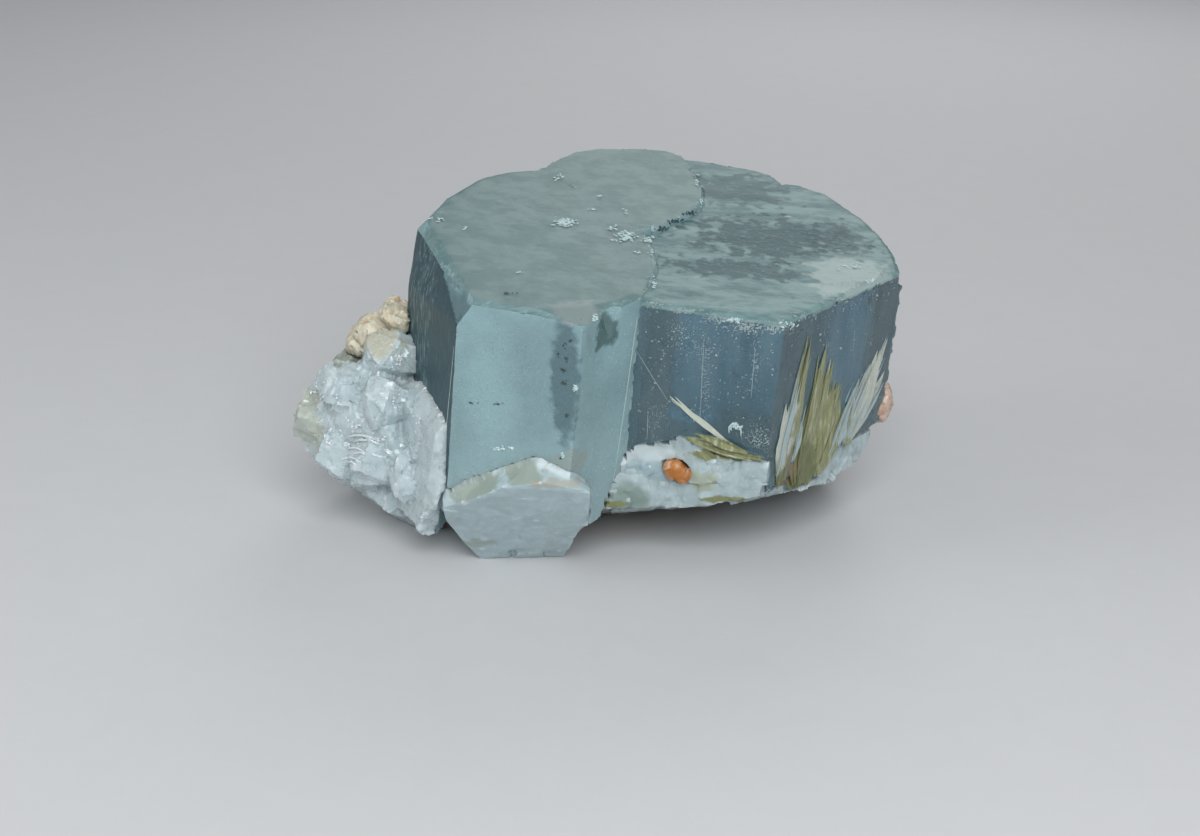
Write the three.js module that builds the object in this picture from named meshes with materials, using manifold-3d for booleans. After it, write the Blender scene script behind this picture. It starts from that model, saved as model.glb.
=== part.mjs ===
// A hand specimen of aquamarine: a stubby six-sided crystal of three joined lobes, standing on
// broken quartz and feldspar with olive mica blades in its right front face.
// Millimetres, +Z up, +X to the right and +Y away from the front of the specimen.
import * as THREE from 'three';
import { ConvexGeometry } from 'three/addons/geometries/ConvexGeometry.js';
import { mergeVertices } from 'three/addons/utils/BufferGeometryUtils.js';
import Module from 'manifold-3d';

const wasm = await Module();
wasm.setup();

// Driving dimensions
const CORNER_HEIGHT = 21.7;      // top corner of the step between the two front lobes, above the floor
const LEAN_FORWARD = 6.9;        // degrees that the crystal's long axis leans to the front
const LEAN_RIGHT = 3.6;          // and to the right
const TURN = -9.8;               // degrees that the front faces are turned about that axis
const LEFT_TOP = 0.35;           // the left lobe's top stands this far above the right lobe's
const BACK_TOP = 0.45;           // and the back lobe's this far
const BASE_DEPTH = 17.2;         // depth of the broken base below the step corner
const BASE_RISE = 0.24;          // rise of the base for each millimetre to the right
const BASE_FALL = 0.03;          // fall of the base for each millimetre to the back
const GAP = 0.3;                 // clearance between neighbouring pieces
const LEAF_THICKNESS = 0.45;     // one mica blade
const FACE_TURN = 60;            // degrees from the front face to the right front face
const FACE_START = 10.7;         // the edge between those faces, to the right of the step corner

const rad = THREE.MathUtils.degToRad;

// The crystal's own frame has its origin at the step corner, x along the front faces, y away
// and z up the long axis.
const crystalFrame = new THREE.Group();
crystalFrame.position.set(0, 0, CORNER_HEIGHT);
crystalFrame.rotation.set(rad(LEAN_FORWARD), rad(LEAN_RIGHT), rad(TURN));
crystalFrame.updateMatrixWorld(true);
const fromCrystal = crystalFrame.matrixWorld.clone();
const toCrystal = fromCrystal.clone().invert();

function vectors(points) {
  return points.map((p) => new THREE.Vector3(...p));
}

// The same points, given in the crystal's frame and moved to the specimen's
function inSpecimen(points) {
  return points.map((p) => new THREE.Vector3(...p).applyMatrix4(fromCrystal).toArray());
}

function toSolid(geometry) {
  geometry.deleteAttribute('normal');
  geometry.deleteAttribute('uv');
  const merged = mergeVertices(geometry, 1e-4);
  return new wasm.Manifold(new wasm.Mesh({
    numProp: 3,
    vertProperties: new Float32Array(merged.attributes.position.array),
    triVerts: new Uint32Array(merged.index.array),
  }));
}

function toGeometry(solid) {
  const mesh = solid.getMesh();
  const geometry = new THREE.BufferGeometry();
  geometry.setAttribute('position', new THREE.BufferAttribute(new Float32Array(mesh.vertProperties), 3));
  geometry.setIndex(new THREE.BufferAttribute(new Uint32Array(mesh.triVerts), 1));
  geometry.computeVertexNormals();
  return geometry;
}

// A lump with flat faces around the points. With a gap it is the room that the lump needs.
function lump(points, gap = 0) {
  if (gap === 0) return toSolid(new ConvexGeometry(vectors(points)));
  const signs = [-gap, gap];
  const grown = [];
  for (const [x, y, z] of points) {
    for (const dx of signs) for (const dy of signs) for (const dz of signs) {
      grown.push([x + dx, y + dy, z + dz]);
    }
  }
  return toSolid(new ConvexGeometry(vectors(grown)));
}

function lumps(list, gap = 0) {
  return list.map((points) => lump(points, gap)).reduce((sum, next) => sum.add(next));
}

function randomFrom(seed) {
  let state = seed;
  return () => {
    state = (state * 16807) % 2147483647;
    return state / 2147483647;
  };
}

// Corners of one broken fragment: directions spread evenly over a ball, each turned and pulled in
// by chance
const FRAGMENT_TURN = 0.7;       // most that a corner's direction changes, end to end, in radians
const FRAGMENT_REACH = 0.82;     // least share of its radius that a corner reaches
const FRAGMENT_SPREAD = 0.22;    // and what chance adds to that

function fragment(centre, radii, seed, corners = 14) {
  const random = randomFrom(seed * 7919);
  const golden = Math.PI * (3 - Math.sqrt(5));
  const spin = random() * Math.PI;
  return Array.from({ length: corners }, (_, i) => {
    const height = 1 - (2 * (i + 0.5)) / corners;
    const ring = Math.sqrt(1 - height * height);
    const angle = spin + i * golden + (random() - 0.5) * FRAGMENT_TURN;
    const reach = FRAGMENT_REACH + FRAGMENT_SPREAD * random();
    return [
      centre[0] + radii[0] * reach * ring * Math.cos(angle),
      centre[1] + radii[1] * reach * ring * Math.sin(angle),
      centre[2] + radii[2] * reach * height,
    ];
  });
}

// Aquamarine lobes, in the crystal's frame

function baseAt(x, y) {
  return -BASE_DEPTH + BASE_RISE * x - BASE_FALL * y;
}

// A lobe: its outline at the base, and the same outline below its top with a bevel up to the rim
function lobe(outline, rim) {
  const foot = outline.map(([x, y]) => [x, y, baseAt(x, y)]);
  const shoulder = outline.map(([x, y, drop]) => [x, y, drop]);
  return inSpecimen([...foot, ...shoulder, ...rim]);
}

// x, y and the height at which the prism face ends and the bevel begins
const leftOutline = [
  [0, 0, 0.1], [-3.2, -5.5, -0.35], [-12.4, -5.5, -1.7], [-18.8, 5.6, -4], [-19, 8.4, -0.5],
  [-18.1, 14.2, 0.1], [-16.5, 19.9, 0.1], [-14.6, 22.1, 0.1], [-12, 23.6, 0.1], [-8.3, 22, 0.1],
  [-2.1, 12.8, 0.1], [-0.6, 10, 0.1], [0.3, 6.2, 0.1], [0.4, 3, 0.1],
];
const leftRim = [
  [-0.4, 0.9], [-1.6, -1.4], [-3.1, -2.9], [-6.6, -5], [-11.4, -5], [-14.1, 0.6], [-16.9, 5.9],
  [-18.2, 8.7], [-17.7, 14], [-16.1, 19.6], [-14.4, 21.8], [-12, 23.2], [-8.4, 21.7],
  [-2.4, 12.6], [-0.9, 9.9], [0, 6.2], [0.1, 3],
].map(([x, y]) => [x, y, LEFT_TOP]);
// Where the left face's own bevel begins, and the front face's top edge
const leftShoulder = inSpecimen([
  [-14.9, 0.2, -0.1], [-17.7, 5.5, -0.1], [-11.3, -5.5, 0.05], [-6.8, -5.5, 0],
]);

const backOutline = [
  [-12, 23.6, 0.1], [-11.5, 26.2, 0.1], [-10.5, 28.6, 0.1], [-8.6, 30.2, 0.1], [-5.4, 31.6, 0.1],
  [-3.2, 32, 0.1], [-1.6, 31.3, 0.1], [-0.5, 29, 0.1], [1.2, 24.4, 0.1], [1.7, 21.3, 0.1],
  [1.3, 18.6, 0.1], [-0.7, 14, 0.1], [-3.5, 13, 0.1],
];
// The rim is the outline drawn in a little and moved to the left and the back
const BACK_RIM_SCALE = 0.97;
const BACK_RIM_LEFT = 0.15;
const BACK_RIM_AWAY = 0.7;
const backRim = backOutline.map(([x, y]) => [
  x * BACK_RIM_SCALE - BACK_RIM_LEFT, y * BACK_RIM_SCALE + BACK_RIM_AWAY, BACK_TOP,
]);

const rightOutline = [
  [0, 0, -0.1], [10.7, 0, -0.3], [18.3, 13.2, -0.3], [17.6, 16.8, -0.3], [16.3, 20.1, -0.2],
  [14.6, 23.5, -0.2], [11.1, 28.2, -0.2], [7.8, 29.6, -0.2], [4.9, 31.6, -0.2], [0, 31.9, -0.2],
  [-4, 31.5, -0.2], [-9, 28, -0.2], [-9, 6, -0.2],
];
const rightRim = [
  [0.2, 0.2], [10.5, 0.3], [17.9, 13.2], [17.2, 16.7], [16, 19.9], [14.3, 23.2], [10.9, 27.9],
  [7.7, 29.3], [4.8, 31.2], [0, 31.6], [-4, 31.2], [-8.7, 27.8], [-8.7, 6.2],
].map(([x, y]) => [x, y, 0]);

const lobes = [
  [...lobe(leftOutline, leftRim), ...leftShoulder],
  lobe(backOutline, backRim),
  lobe(rightOutline, rightRim),
];

// Chips broken out of the top edges
const edgeChips = [
  [[4.6, -1, 0.1], [10.4, -1, 0.1], [9.4, -1, -0.8], [6.6, -1, -0.75], [7.2, 0.9, 0.1], [9.4, 0.7, 0.1],
    [5.4, -1, 1], [10, -1, 1]],
  [[10.2, -1, 0.6], [12.2, 1.2, 0.6], [10.9, -0.6, -0.75], [11.7, 0.6, -0.5], [10.6, 0.6, 0.15]],
  [[14.4, 5.2, 0.6], [16.2, 8.6, 0.6], [15.5, 7.4, -0.55], [14.9, 6.2, -0.5], [14.7, 7.6, 0.15]],
  [[17.9, 11.4, 0.6], [19, 13.6, 0.6], [18.6, 12.6, -0.6], [17.3, 12.9, 0.15]],
  [[-0.8, 4.2, 0.7], [1, 2.4, 0.7], [1, 4.8, 0.7], [0.6, 3.6, -0.1], [-0.5, 3.4, 0.45]],
  [[5.1, 31.9, 0.6], [9.8, 29.2, 0.6], [7.3, 28.7, 0.3], [7.4, 29, -2.6], [5.6, 31.6, -1.5], [8, 32, -1]],
  [[-2.7, -5.2, 0.6], [-0.8, -2, 0.6], [-1.5, -3, -2.5], [-2.4, -3.1, 0.3], [-1.2, -1.7, 0.3],
    [-1.9, -3, -1.6]],
].map(inSpecimen);

// The dark crack in the top, a shallow groove between the lobes
const topCrack = inSpecimen([
  [-2.3, 12.5, 0.7], [-0.4, 14.8, 0.7], [1.2, 16.2, 0.7], [1.3, 15.7, 0.7], [-0.2, 14.1, 0.7],
  [-2, 12.1, 0.7], [-1.2, 13.5, -0.7], [0.5, 15.2, -0.7],
]);

// Pale cleavage block under the left lobe's front face, in the specimen's frame
const blockTop = [
  [-14.5, -1.4, 6.2], [-12.3, -1.9, 7.7], [-10, -2.4, 8.6], [-7.3, -3, 10], [-3.4, -3.4, 8.2],
];
const blockLedge = [
  [-14.3, -2, 5.8], [-12, -3.2, 7], [-9.9, -4, 8.3], [-6.6, -4.3, 8.9], [-3.4, -4, 8.1],
];
const blockFront = [
  [-14.2, -0.6, 4.2], [-12.9, 1, 1.7], [-11.7, 2.1, -0.1], [-5.4, 2.8, -0.1], [-3.5, -2.2, 5.5],
  [-4.2, -0.2, 3.5],
];
const blockBack = [[-13.2, 6, -0.3], [-5.4, 6, -0.3], [-13.2, 5, 4], [-5.4, 5, 4.6]];
const blockPoints = [...blockTop, ...blockLedge, ...blockFront, ...blockBack];
const blockChips = [
  [[-9.6, 0.4, 1.3], [-8, 1, -0.6], [-10.8, 1, -0.6], [-9.4, 3, -0.6], [-9.2, 2, 1.2]],
  [[-7.2, 0.8, 1.2], [-5.9, 1.2, -0.6], [-7.8, 1, -0.6], [-6.8, 3.4, -0.6], [-6.6, 2.2, 1.2]],
  [[-13.4, -1.9, 7.1], [-11.6, -3.9, 8.2], [-13.7, -3.2, 6.4], [-12.3, -2.3, 8.6]],
];
// Room under the left lobe where the block has taken the crystal's place
const blockRoom = [...blockTop, ...blockLedge, ...blockBack,
  [-16.6, -9, 6], [-3.6, -9, 8], [-16.6, -9, -2], [-3.6, -9, -2], [-14, 7, -2], [-5, 7, -2]];

// Pale matrix wedge set flush in the right lobe's front face, in the crystal's frame
const wedges = [
  [[-0.9, -1.4, -17.1], [-0.35, -0.5, -14.6], [2.4, 0, -17], [2, 0.1, -14], [-0.9, 2, -17.8], [1, 3, -15],
    [1, 3, -18.4]],
  [[-0.3, 0.15, -13.6], [1.1, 0.15, -12.1], [4.3, 0.15, -11.2], [4.6, 0.15, -16.6], [-0.5, 0.15, -17.6],
    [0.2, 4.5, -17], [4.4, 5, -15.6], [0.2, 4.5, -19], [4.4, 5, -18.4]],
  [[3.6, 0.1, -11.3], [5.5, 0.1, -9.9], [7.2, 0.1, -11.1], [7.4, 0.1, -15.7], [3.4, 0.1, -17],
    [3.6, 5, -15.2], [7.4, 4.6, -14.2], [3.6, 5, -18.4], [7.4, 4.6, -17.6]],
  [[6.6, 0.15, -11.1], [9.2, 0.15, -11.6], [10.3, 0.15, -11.5], [10.35, 0.15, -14.8], [6.6, 0.15, -16],
    [6.8, 5, -14.4], [11.4, 4.2, -13.6], [6.8, 5, -17.6], [11.6, 4.4, -16.4]],
].map(inSpecimen);

// Broken matrix under the crystal. Its front underside rises clear of the floor.
const matrixBody = [
  ...inSpecimen([[-0.9, 0.2, -17.5], [2.4, 0.3, -17.1], [6.2, 0.3, -15.95], [10.2, 0.4, -14.6],
    [12.6, 3.6, -15.7], [15.2, 8.2, -16.6], [17.3, 11.9, -16], [18, 13.4, -14.2]]),
  [-9, 10.5, -0.4], [-3, 12.4, -0.4], [5, 17, -0.4], [13.4, 20.6, -0.4], [16.4, 24, -0.4],
  [12.4, 27.6, -0.4], [-1, 28.6, -0.4], [-12, 23, -0.4],
  [19, 17, 8.6], [16, 24, 10], [11, 28.4, 10.6], [0, 30.6, 10.4], [-12, 25.4, 8.4], [-16, 14, 5],
];
const matrixFragments = [
  fragment([15.8, 17.5, 6.8], [3.4, 3.6, 3.2], 3),
  fragment([10.5, 26.2, 5.6], [4, 3.4, 4.4], 5),
  fragment([1.5, 28.2, 5.4], [4.4, 3.2, 4.6], 8),
  fragment([-8.5, 24.2, 4.4], [4.4, 3.6, 4.2], 14),
  fragment([13.2, 22.6, 3.2], [3.4, 3.4, 3.4], 21),
  fragment([6.2, 10.8, 4.6], [3, 3, 1.6], 34),
  fragment([13.4, 11.6, 5.2], [2.6, 2.8, 1.5], 55),
];

// Milky quartz at the left, in the specimen's frame
const quartzBody = [
  [-27, 9.8, 8.9], [-25.9, 8.8, 5.9], [-22.8, 9.2, 3], [-19.5, 11.4, -0.4], [-16.5, 7.6, -0.4],
  [-25.2, 9.8, 12.2], [-22.6, 10.2, 14.4], [-19.8, 10.4, 16.6], [-16.8, 12, 17],
  [-22, 4.6, 9.6], [-20.6, 3.8, 11.8], [-18.7, 3.2, 9.4], [-18, 4, 4.8],
  [-25.6, 14.6, 7], [-22, 19, 10.6], [-17.6, 21, 11.4], [-21.6, 18.4, -0.4], [-16, 21.4, -0.4],
  [-12.6, 17, -0.4], [-12.6, 9, -0.4],
];
// The thin slab that covers the lower half of the left face
const quartzSlab = [
  [-16.7, 5.2, 13.8], [-15.8, 2.7, 13], [-14.2, -1.5, 13], [-14.3, -1.6, 8], [-14.8, -1.3, 6],
  [-15.5, 1, 2.6],
  [-17.2, 4.8, 12.8], [-16.6, 2.4, 11.6], [-15, -1.6, 11.4], [-15.6, -0.8, 7], [-16.4, 0.9, 3],
  [-19, 7, 12], [-19, 6, 3],
];
const quartzFragments = [
  fragment([-24.2, 9.6, 8.5], [3.3, 3.6, 3.1], 4),
  fragment([-22.6, 7.4, 11.9], [2.8, 2.8, 2.6], 6),
  fragment([-23, 7.2, 6.4], [3, 3, 3], 9),
  fragment([-20.2, 5.2, 6.6], [2.8, 2.6, 3], 12),
  fragment([-19.6, 5, 11.6], [2.6, 2.5, 2.6], 15),
  fragment([-19.4, 7.8, 14.6], [2.7, 2.8, 2.5], 18),
  fragment([-18.4, 7.2, 3.4], [2.8, 2.8, 2.6], 24),
  fragment([-16, 1.9, 3.4], [1.1, 1.5, 1.6], 27, 10),
  fragment([-22, 15.6, 8.4], [4, 4, 4], 30),
  fragment([-18.6, 18.6, 5.6], [4, 3.8, 5.4], 33),
  fragment([-23, 13.8, 4.6], [3.2, 3.6, 3], 36),
  fragment([-17.6, 3, 6.2], [1.7, 1.9, 2.6], 39),
];

// Cream feldspar on the quartz's top edge, and one grain at the right edge
const feldsparRim = [
  fragment([-20.5, 9.4, 16], [1.5, 1.8, 1.2], 41, 12),
  fragment([-18.7, 9.6, 17], [1.3, 1.8, 1.3], 45, 12),
  fragment([-21.5, 9.8, 14.9], [1.2, 1.7, 1], 48, 10),
];
const feldsparGrain = [fragment([19.4, 13, 9.8], [1.2, 1.5, 1.7], 51, 12)];
const orangeGrain = [inSpecimen([
  [3.2, 0, -13.1], [4, 0, -13], [4.9, 0, -13.6], [4.6, 0, -14.1], [3.7, 0, -13.9],
  [3.5, 0.9, -13.3], [4.3, 1, -13.7],
])];

// Mica blades. A blade is a long flat hexagon from its root to its tip, and its tip is thin.
const BLADE_OUTLINE = [[0, 0.35], [0.3, 0.9], [0.62, 1], [1, 0.12]]; // share of its length, of its width
const TIP_THINNING = 0.5;
const ROOT_SINK = 0.15;          // depth of a blade's middle below the face at its root
const TIP_SINK = 0.1;            // and at its tip

function blade(root, tip, width, normal) {
  const start = new THREE.Vector3(...root);
  const end = new THREE.Vector3(...tip);
  const along = end.clone().sub(start);
  const side = new THREE.Vector3().crossVectors(along, normal).normalize();
  const out = new THREE.Vector3().crossVectors(side, along).normalize().multiplyScalar(LEAF_THICKNESS / 2);
  const points = [];
  for (const [t, share] of BLADE_OUTLINE) for (const across of [-1, 1]) for (const lift of [-1, 1]) {
    points.push(start.clone().addScaledVector(along, t)
      .addScaledVector(side, (across * share * width) / 2)
      .addScaledVector(out, lift * (t === 1 ? TIP_THINNING : 1)).toArray());
  }
  return inSpecimen(points);
}

// A place on the right front face: along it from the front edge, up it, and out of it
function onFace(along, height, out) {
  const turn = rad(FACE_TURN);
  return [
    FACE_START + along * Math.cos(turn) + out * Math.sin(turn),
    along * Math.sin(turn) - out * Math.cos(turn),
    height,
  ];
}

// One blade on that face, turned about its length by twist degrees
function faceBlade([s0, z0, s1, z1, width, twist]) {
  const turn = rad(FACE_TURN + twist);
  const normal = new THREE.Vector3(Math.sin(turn), -Math.cos(turn), 0);
  return blade(onFace(s0, z0, -ROOT_SINK), onFace(s1, z1, -TIP_SINK), width, normal);
}

const micaLeft = [[2.3, -14.4, 3.7, -1.8, 2, 6], [2, -14.4, 1.9, -6.4, 1.8, -6]].map(faceBlade);
const micaMiddle = [
  [4.9, -15.4, 5.9, -3.4, 2.5, 5], [5.6, -15.4, 7.5, -5, 2.6, -6], [6.6, -15.2, 8.9, -7.2, 2.4, 7],
  [4.4, -15.4, 4.6, -8.6, 2.4, -5], [7.4, -15.2, 9.6, -10, 2, -6],
].map(faceBlade);
const micaRight = [
  [10.9, -13.8, 15.2, -4.9, 1.8, 6], [10.9, -13.8, 13.6, -6.2, 1.9, -6], [10.9, -13.8, 11.8, -8, 1.8, 5],
  [11.4, -13.6, 14.8, -8.6, 1.8, -5],
].map(faceBlade);
const frontNormal = new THREE.Vector3(0, -1, 0);
const micaStreak = [
  blade([9.9, 0, -11.4], [4.7, 0, -9.5], 0.9, frontNormal),
  blade([9.9, 0.05, -11.2], [6.4, 0.05, -10.9], 1, frontNormal),
];

// Joining and cutting
const allMica = [...micaLeft, ...micaMiddle, ...micaRight, ...micaStreak];
const crystalRoom = lumps(lobes, GAP);
const blockSpace = lump(blockRoom, GAP);
const middleBlades = lumps(micaMiddle).subtract(lumps(micaLeft, GAP));
const blockSolid = lump(blockPoints).subtract(lumps(blockChips));

const crystalSolid = lumps(lobes)
  .subtract(lumps([...edgeChips, topCrack]))
  .subtract(blockSpace)
  .subtract(lumps([...wedges, ...allMica, ...feldsparGrain], GAP));

const quartzSolid = lumps([quartzBody, quartzSlab, ...quartzFragments])
  .subtract(crystalRoom)
  .subtract(lump(blockPoints, GAP))
  .subtract(lumps(feldsparRim, GAP));

const matrixSolid = lumps([matrixBody, ...matrixFragments])
  .subtract(crystalRoom)
  .add(lumps(wedges))
  .subtract(lumps([quartzBody, quartzSlab, ...quartzFragments], GAP))
  .subtract(lump(blockPoints, GAP))
  .subtract(lumps([...allMica, ...feldsparGrain, ...orangeGrain], GAP));

// Everything is worn flat where it meets the floor
const AIR = 60;
const aboveFloor = toSolid(new THREE.BoxGeometry(2 * AIR, 2 * AIR, AIR).translate(0, 0, AIR / 2));

const finishes = {
  aquamarine: { color: 0x8fb4bd, roughness: 0.15, metalness: 0 },
  quartz: { color: 0xc3ced2, roughness: 0.4, metalness: 0 },
  block: { color: 0xb2bdb9, roughness: 0.35, metalness: 0 },
  matrix: { color: 0xa3aba6, roughness: 0.55, metalness: 0 },
  feldspar: { color: 0xcbb79a, roughness: 0.6, metalness: 0 },
  mica: { color: 0x8b8a58, roughness: 0.35, metalness: 0 },
  orange: { color: 0xb5672a, roughness: 0.4, metalness: 0 },
};

function piece(name, solid, finish) {
  const mesh = new THREE.Mesh(
    toGeometry(solid.intersect(aboveFloor)),
    new THREE.MeshStandardMaterial(finishes[finish]),
  );
  mesh.name = name;
  return mesh;
}

// The crystal and its mica are drawn in the crystal's own leaning frame
function crystalPiece(name, solid, finish) {
  const mesh = piece(name, solid, finish);
  mesh.geometry.applyMatrix4(toCrystal);
  return mesh;
}

crystalFrame.add(crystalPiece('aquamarine', crystalSolid, 'aquamarine'));
crystalFrame.add(crystalPiece('mica_left', lumps(micaLeft), 'mica'));
crystalFrame.add(crystalPiece('mica_middle', middleBlades, 'mica'));
crystalFrame.add(crystalPiece('mica_right', lumps(micaRight), 'mica'));
crystalFrame.add(crystalPiece('mica_streak', lumps(micaStreak), 'mica'));

const specimen = new THREE.Group();
specimen.add(crystalFrame);
specimen.add(piece('quartz_mass', quartzSolid, 'quartz'));
specimen.add(piece('front_block', blockSolid, 'block'));
specimen.add(piece('base_matrix', matrixSolid, 'matrix'));
specimen.add(piece('feldspar_rim', lumps(feldsparRim).subtract(crystalRoom), 'feldspar'));
specimen.add(piece('feldspar_grain', lumps(feldsparGrain), 'feldspar'));
specimen.add(piece('orange_grain', lumps(orangeGrain), 'orange'));

// The origin is at the middle of the specimen's box, on the floor
const box = new THREE.Box3().setFromObject(specimen, true);
const middle = box.getCenter(new THREE.Vector3());
specimen.position.set(-middle.x, -middle.y, -box.min.z);

const model = new THREE.Group();
model.add(specimen);

export default model;
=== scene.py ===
"""Looks of an aquamarine crystal on its matrix, laid out as an add-on and run as a script."""

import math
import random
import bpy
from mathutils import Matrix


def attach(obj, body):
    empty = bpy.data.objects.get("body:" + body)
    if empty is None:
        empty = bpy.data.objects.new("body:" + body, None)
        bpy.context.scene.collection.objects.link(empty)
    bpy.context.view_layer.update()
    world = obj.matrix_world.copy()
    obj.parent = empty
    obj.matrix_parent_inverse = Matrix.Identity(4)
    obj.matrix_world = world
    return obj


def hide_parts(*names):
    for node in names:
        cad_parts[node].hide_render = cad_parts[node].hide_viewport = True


bl_info = {
    "name": "Aquamarine Specimen",
    "version": (1, 0, 0),
    "blender": (4, 5, 0),
    "location": "View3D > Sidebar > Specimen",
    "description": "Dresses the packed crystal, quartz, matrix and mica with fine meshes and materials",
    "category": "Object",
}

import bmesh
import bpy
from bpy.props import FloatProperty, FloatVectorProperty, IntProperty, PointerProperty
from mathutils import Matrix, Vector, noise
from mathutils.bvhtree import BVHTree
from mathutils.kdtree import KDTree

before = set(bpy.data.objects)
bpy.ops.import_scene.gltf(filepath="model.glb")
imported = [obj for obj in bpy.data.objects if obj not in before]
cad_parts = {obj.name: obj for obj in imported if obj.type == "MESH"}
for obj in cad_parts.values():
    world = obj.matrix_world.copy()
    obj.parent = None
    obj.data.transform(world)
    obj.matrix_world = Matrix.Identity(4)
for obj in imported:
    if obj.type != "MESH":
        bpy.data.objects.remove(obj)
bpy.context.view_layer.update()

MM = 0.001  # shapes are worked out in millimetres and written in metres
MERGE = 0.002  # points nearer to each other than this are made one

# The crystal's own frame: its origin is the step corner between the front lobes, x runs along the
# front faces, y away from the front and z up the long axis.
STEP_CORNER = Vector((3.312, -14.664, 21.7))
LEAN_FORWARD = 6.9
LEAN_RIGHT = 3.6
TURN = -9.8
CRYSTAL = (
    Matrix.Translation(STEP_CORNER)
    @ Matrix.Rotation(math.radians(LEAN_FORWARD), 4, "X")
    @ Matrix.Rotation(math.radians(LEAN_RIGHT), 4, "Y")
    @ Matrix.Rotation(math.radians(TURN), 4, "Z")
)
FACE_TURN = math.radians(60)  # from the front face to the right front face
FACE_START = 10.7  # the edge between them, to the right of the step corner
UP = (CRYSTAL.to_3x3() @ Vector((0, 0, 1))).normalized()

# The photograph's camera, and its picture in pixels
CAMERA_PLACE = Vector((0.609, -169.107, 67.234))
CAMERA_RIGHT = Vector((0.9997, 0.008, 0.0214))
CAMERA_UP = Vector((-0.023, 0.334, 0.942))
CAMERA_LENS = 66
SENSOR_WIDTH = 36
PICTURE_WIDTH = 1200
PICTURE_HEIGHT = 836


# Small helpers for places

def in_specimen(point):
    return CRYSTAL @ Vector(point)


def on_right_face(along, height, out=0.0):
    """A place on the right front face: along it from the front edge, up it, and out of it."""
    return in_specimen((
        FACE_START + along * math.cos(FACE_TURN) + out * math.sin(FACE_TURN),
        along * math.sin(FACE_TURN) - out * math.cos(FACE_TURN),
        height,
    ))


def camera_axes():
    right = CAMERA_RIGHT.normalized()
    back = right.cross(CAMERA_UP).normalized()
    return right, back.cross(right).normalized(), back


def sight(pixel):
    """Direction in which the camera sees a pixel of the photograph."""
    right, up, back = camera_axes()
    focal = CAMERA_LENS / SENSOR_WIDTH * PICTURE_WIDTH
    across = pixel[0] - PICTURE_WIDTH / 2
    down = pixel[1] - PICTURE_HEIGHT / 2
    return (right * across - up * down - back * focal).normalized()


def node_mesh(*names):
    """One mesh, in millimetres, of the named CAD nodes."""
    work = bmesh.new()
    for name in names:
        work.from_mesh(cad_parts[name].data)
    bmesh.ops.scale(work, vec=(1 / MM,) * 3, verts=work.verts)
    bmesh.ops.remove_doubles(work, verts=work.verts, dist=MERGE)
    return work


def tree_of(work):
    return BVHTree.FromBMesh(work)


CRYSTAL_TREE = tree_of(node_mesh("aquamarine"))


def seen_at(pixel, tree=CRYSTAL_TREE):
    """The place where a pixel's line of sight meets or nearly meets the surface, and the normal there."""
    place, normal, _, _ = tree.ray_cast(CAMERA_PLACE, sight(pixel))
    if place is None:
        distance = (STEP_CORNER - CAMERA_PLACE).length
        place, normal, _, _ = tree.find_nearest(CAMERA_PLACE + sight(pixel) * distance)
    return place, normal


# Meshes

CRUMB_REACH = (0.7, 1.15)  # how far a grain's corner lies out along its axis
CRUMB_DRIFT = 0.25  # how far it lies off that axis


class Shapes:
    """Collects small closed solids and joins them in one mesh."""

    def __init__(self, seed):
        self.points = []
        self.faces = []
        self.chance = random.Random(seed)

    def crumb(self, centre, axes):
        """An angular grain: six jittered corners along its three axes."""
        first = len(self.points)
        for axis in axes:
            for sign in (1, -1):
                reach = sign * self.chance.uniform(*CRUMB_REACH)
                drift = Vector(self.chance.uniform(-CRUMB_DRIFT, CRUMB_DRIFT) * a.length for a in axes)
                self.points.append(centre + axis * reach + drift)
        for x in (0, 1):
            for y in (2, 3):
                for z in (4, 5):
                    corners = [first + x, first + y, first + z]
                    if (x + y + z) % 2 == 1:
                        corners.reverse()
                    self.faces.append(corners)

    def strip(self, centres, sides, lifts):
        """A long flat blade: at each station its centre, its half width and its half thickness."""
        first = len(self.points)
        for centre, side, lift in zip(centres, sides, lifts):
            self.points += [centre - side - lift, centre + side - lift]
            self.points += [centre + side + lift, centre - side + lift]
        last = len(centres) - 1
        self.faces.append([first, first + 1, first + 2, first + 3])
        for i in range(last):
            low = first + 4 * i
            for k in range(4):
                turn = (k + 1) % 4
                self.faces.append([low + turn, low + k, low + 4 + k, low + 4 + turn])
        high = first + 4 * last
        self.faces.append([high + 3, high + 2, high + 1, high])

    def finish(self, name):
        mesh = bpy.data.meshes.new(name)
        mesh.from_pydata([p * MM for p in self.points], [], self.faces)
        return new_piece(name, mesh)


def flat_axes(normal, along, length, width, thickness):
    """Three axes of a flat grain that lies on a surface."""
    side = normal.cross(along).normalized()
    forward = side.cross(normal).normalized()
    return forward * length, side * width, normal * thickness


def new_piece(name, mesh):
    work = bmesh.new()
    work.from_mesh(mesh)
    bmesh.ops.recalc_face_normals(work, faces=work.faces)
    work.to_mesh(mesh)
    work.free()
    piece = bpy.data.objects.new(name, mesh)
    bpy.context.scene.collection.objects.link(piece)
    return piece


def hull(work, points):
    """Adds a convex solid around the points."""
    corners = [work.verts.new(p) for p in points]
    bmesh.ops.convex_hull(work, input=corners)


def prism(outline, low, high):
    """A closed prism in the crystal's frame, for cutting."""
    work = bmesh.new()
    bottom = [work.verts.new(in_specimen((x, y, low))) for x, y in outline]
    top = [work.verts.new(in_specimen((x, y, high))) for x, y in outline]
    work.faces.new(bottom)
    work.faces.new(top)
    count = len(outline)
    for i in range(count):
        j = (i + 1) % count
        work.faces.new((bottom[i], bottom[j], top[j], top[i]))
    bmesh.ops.recalc_face_normals(work, faces=work.faces)
    return work


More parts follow.
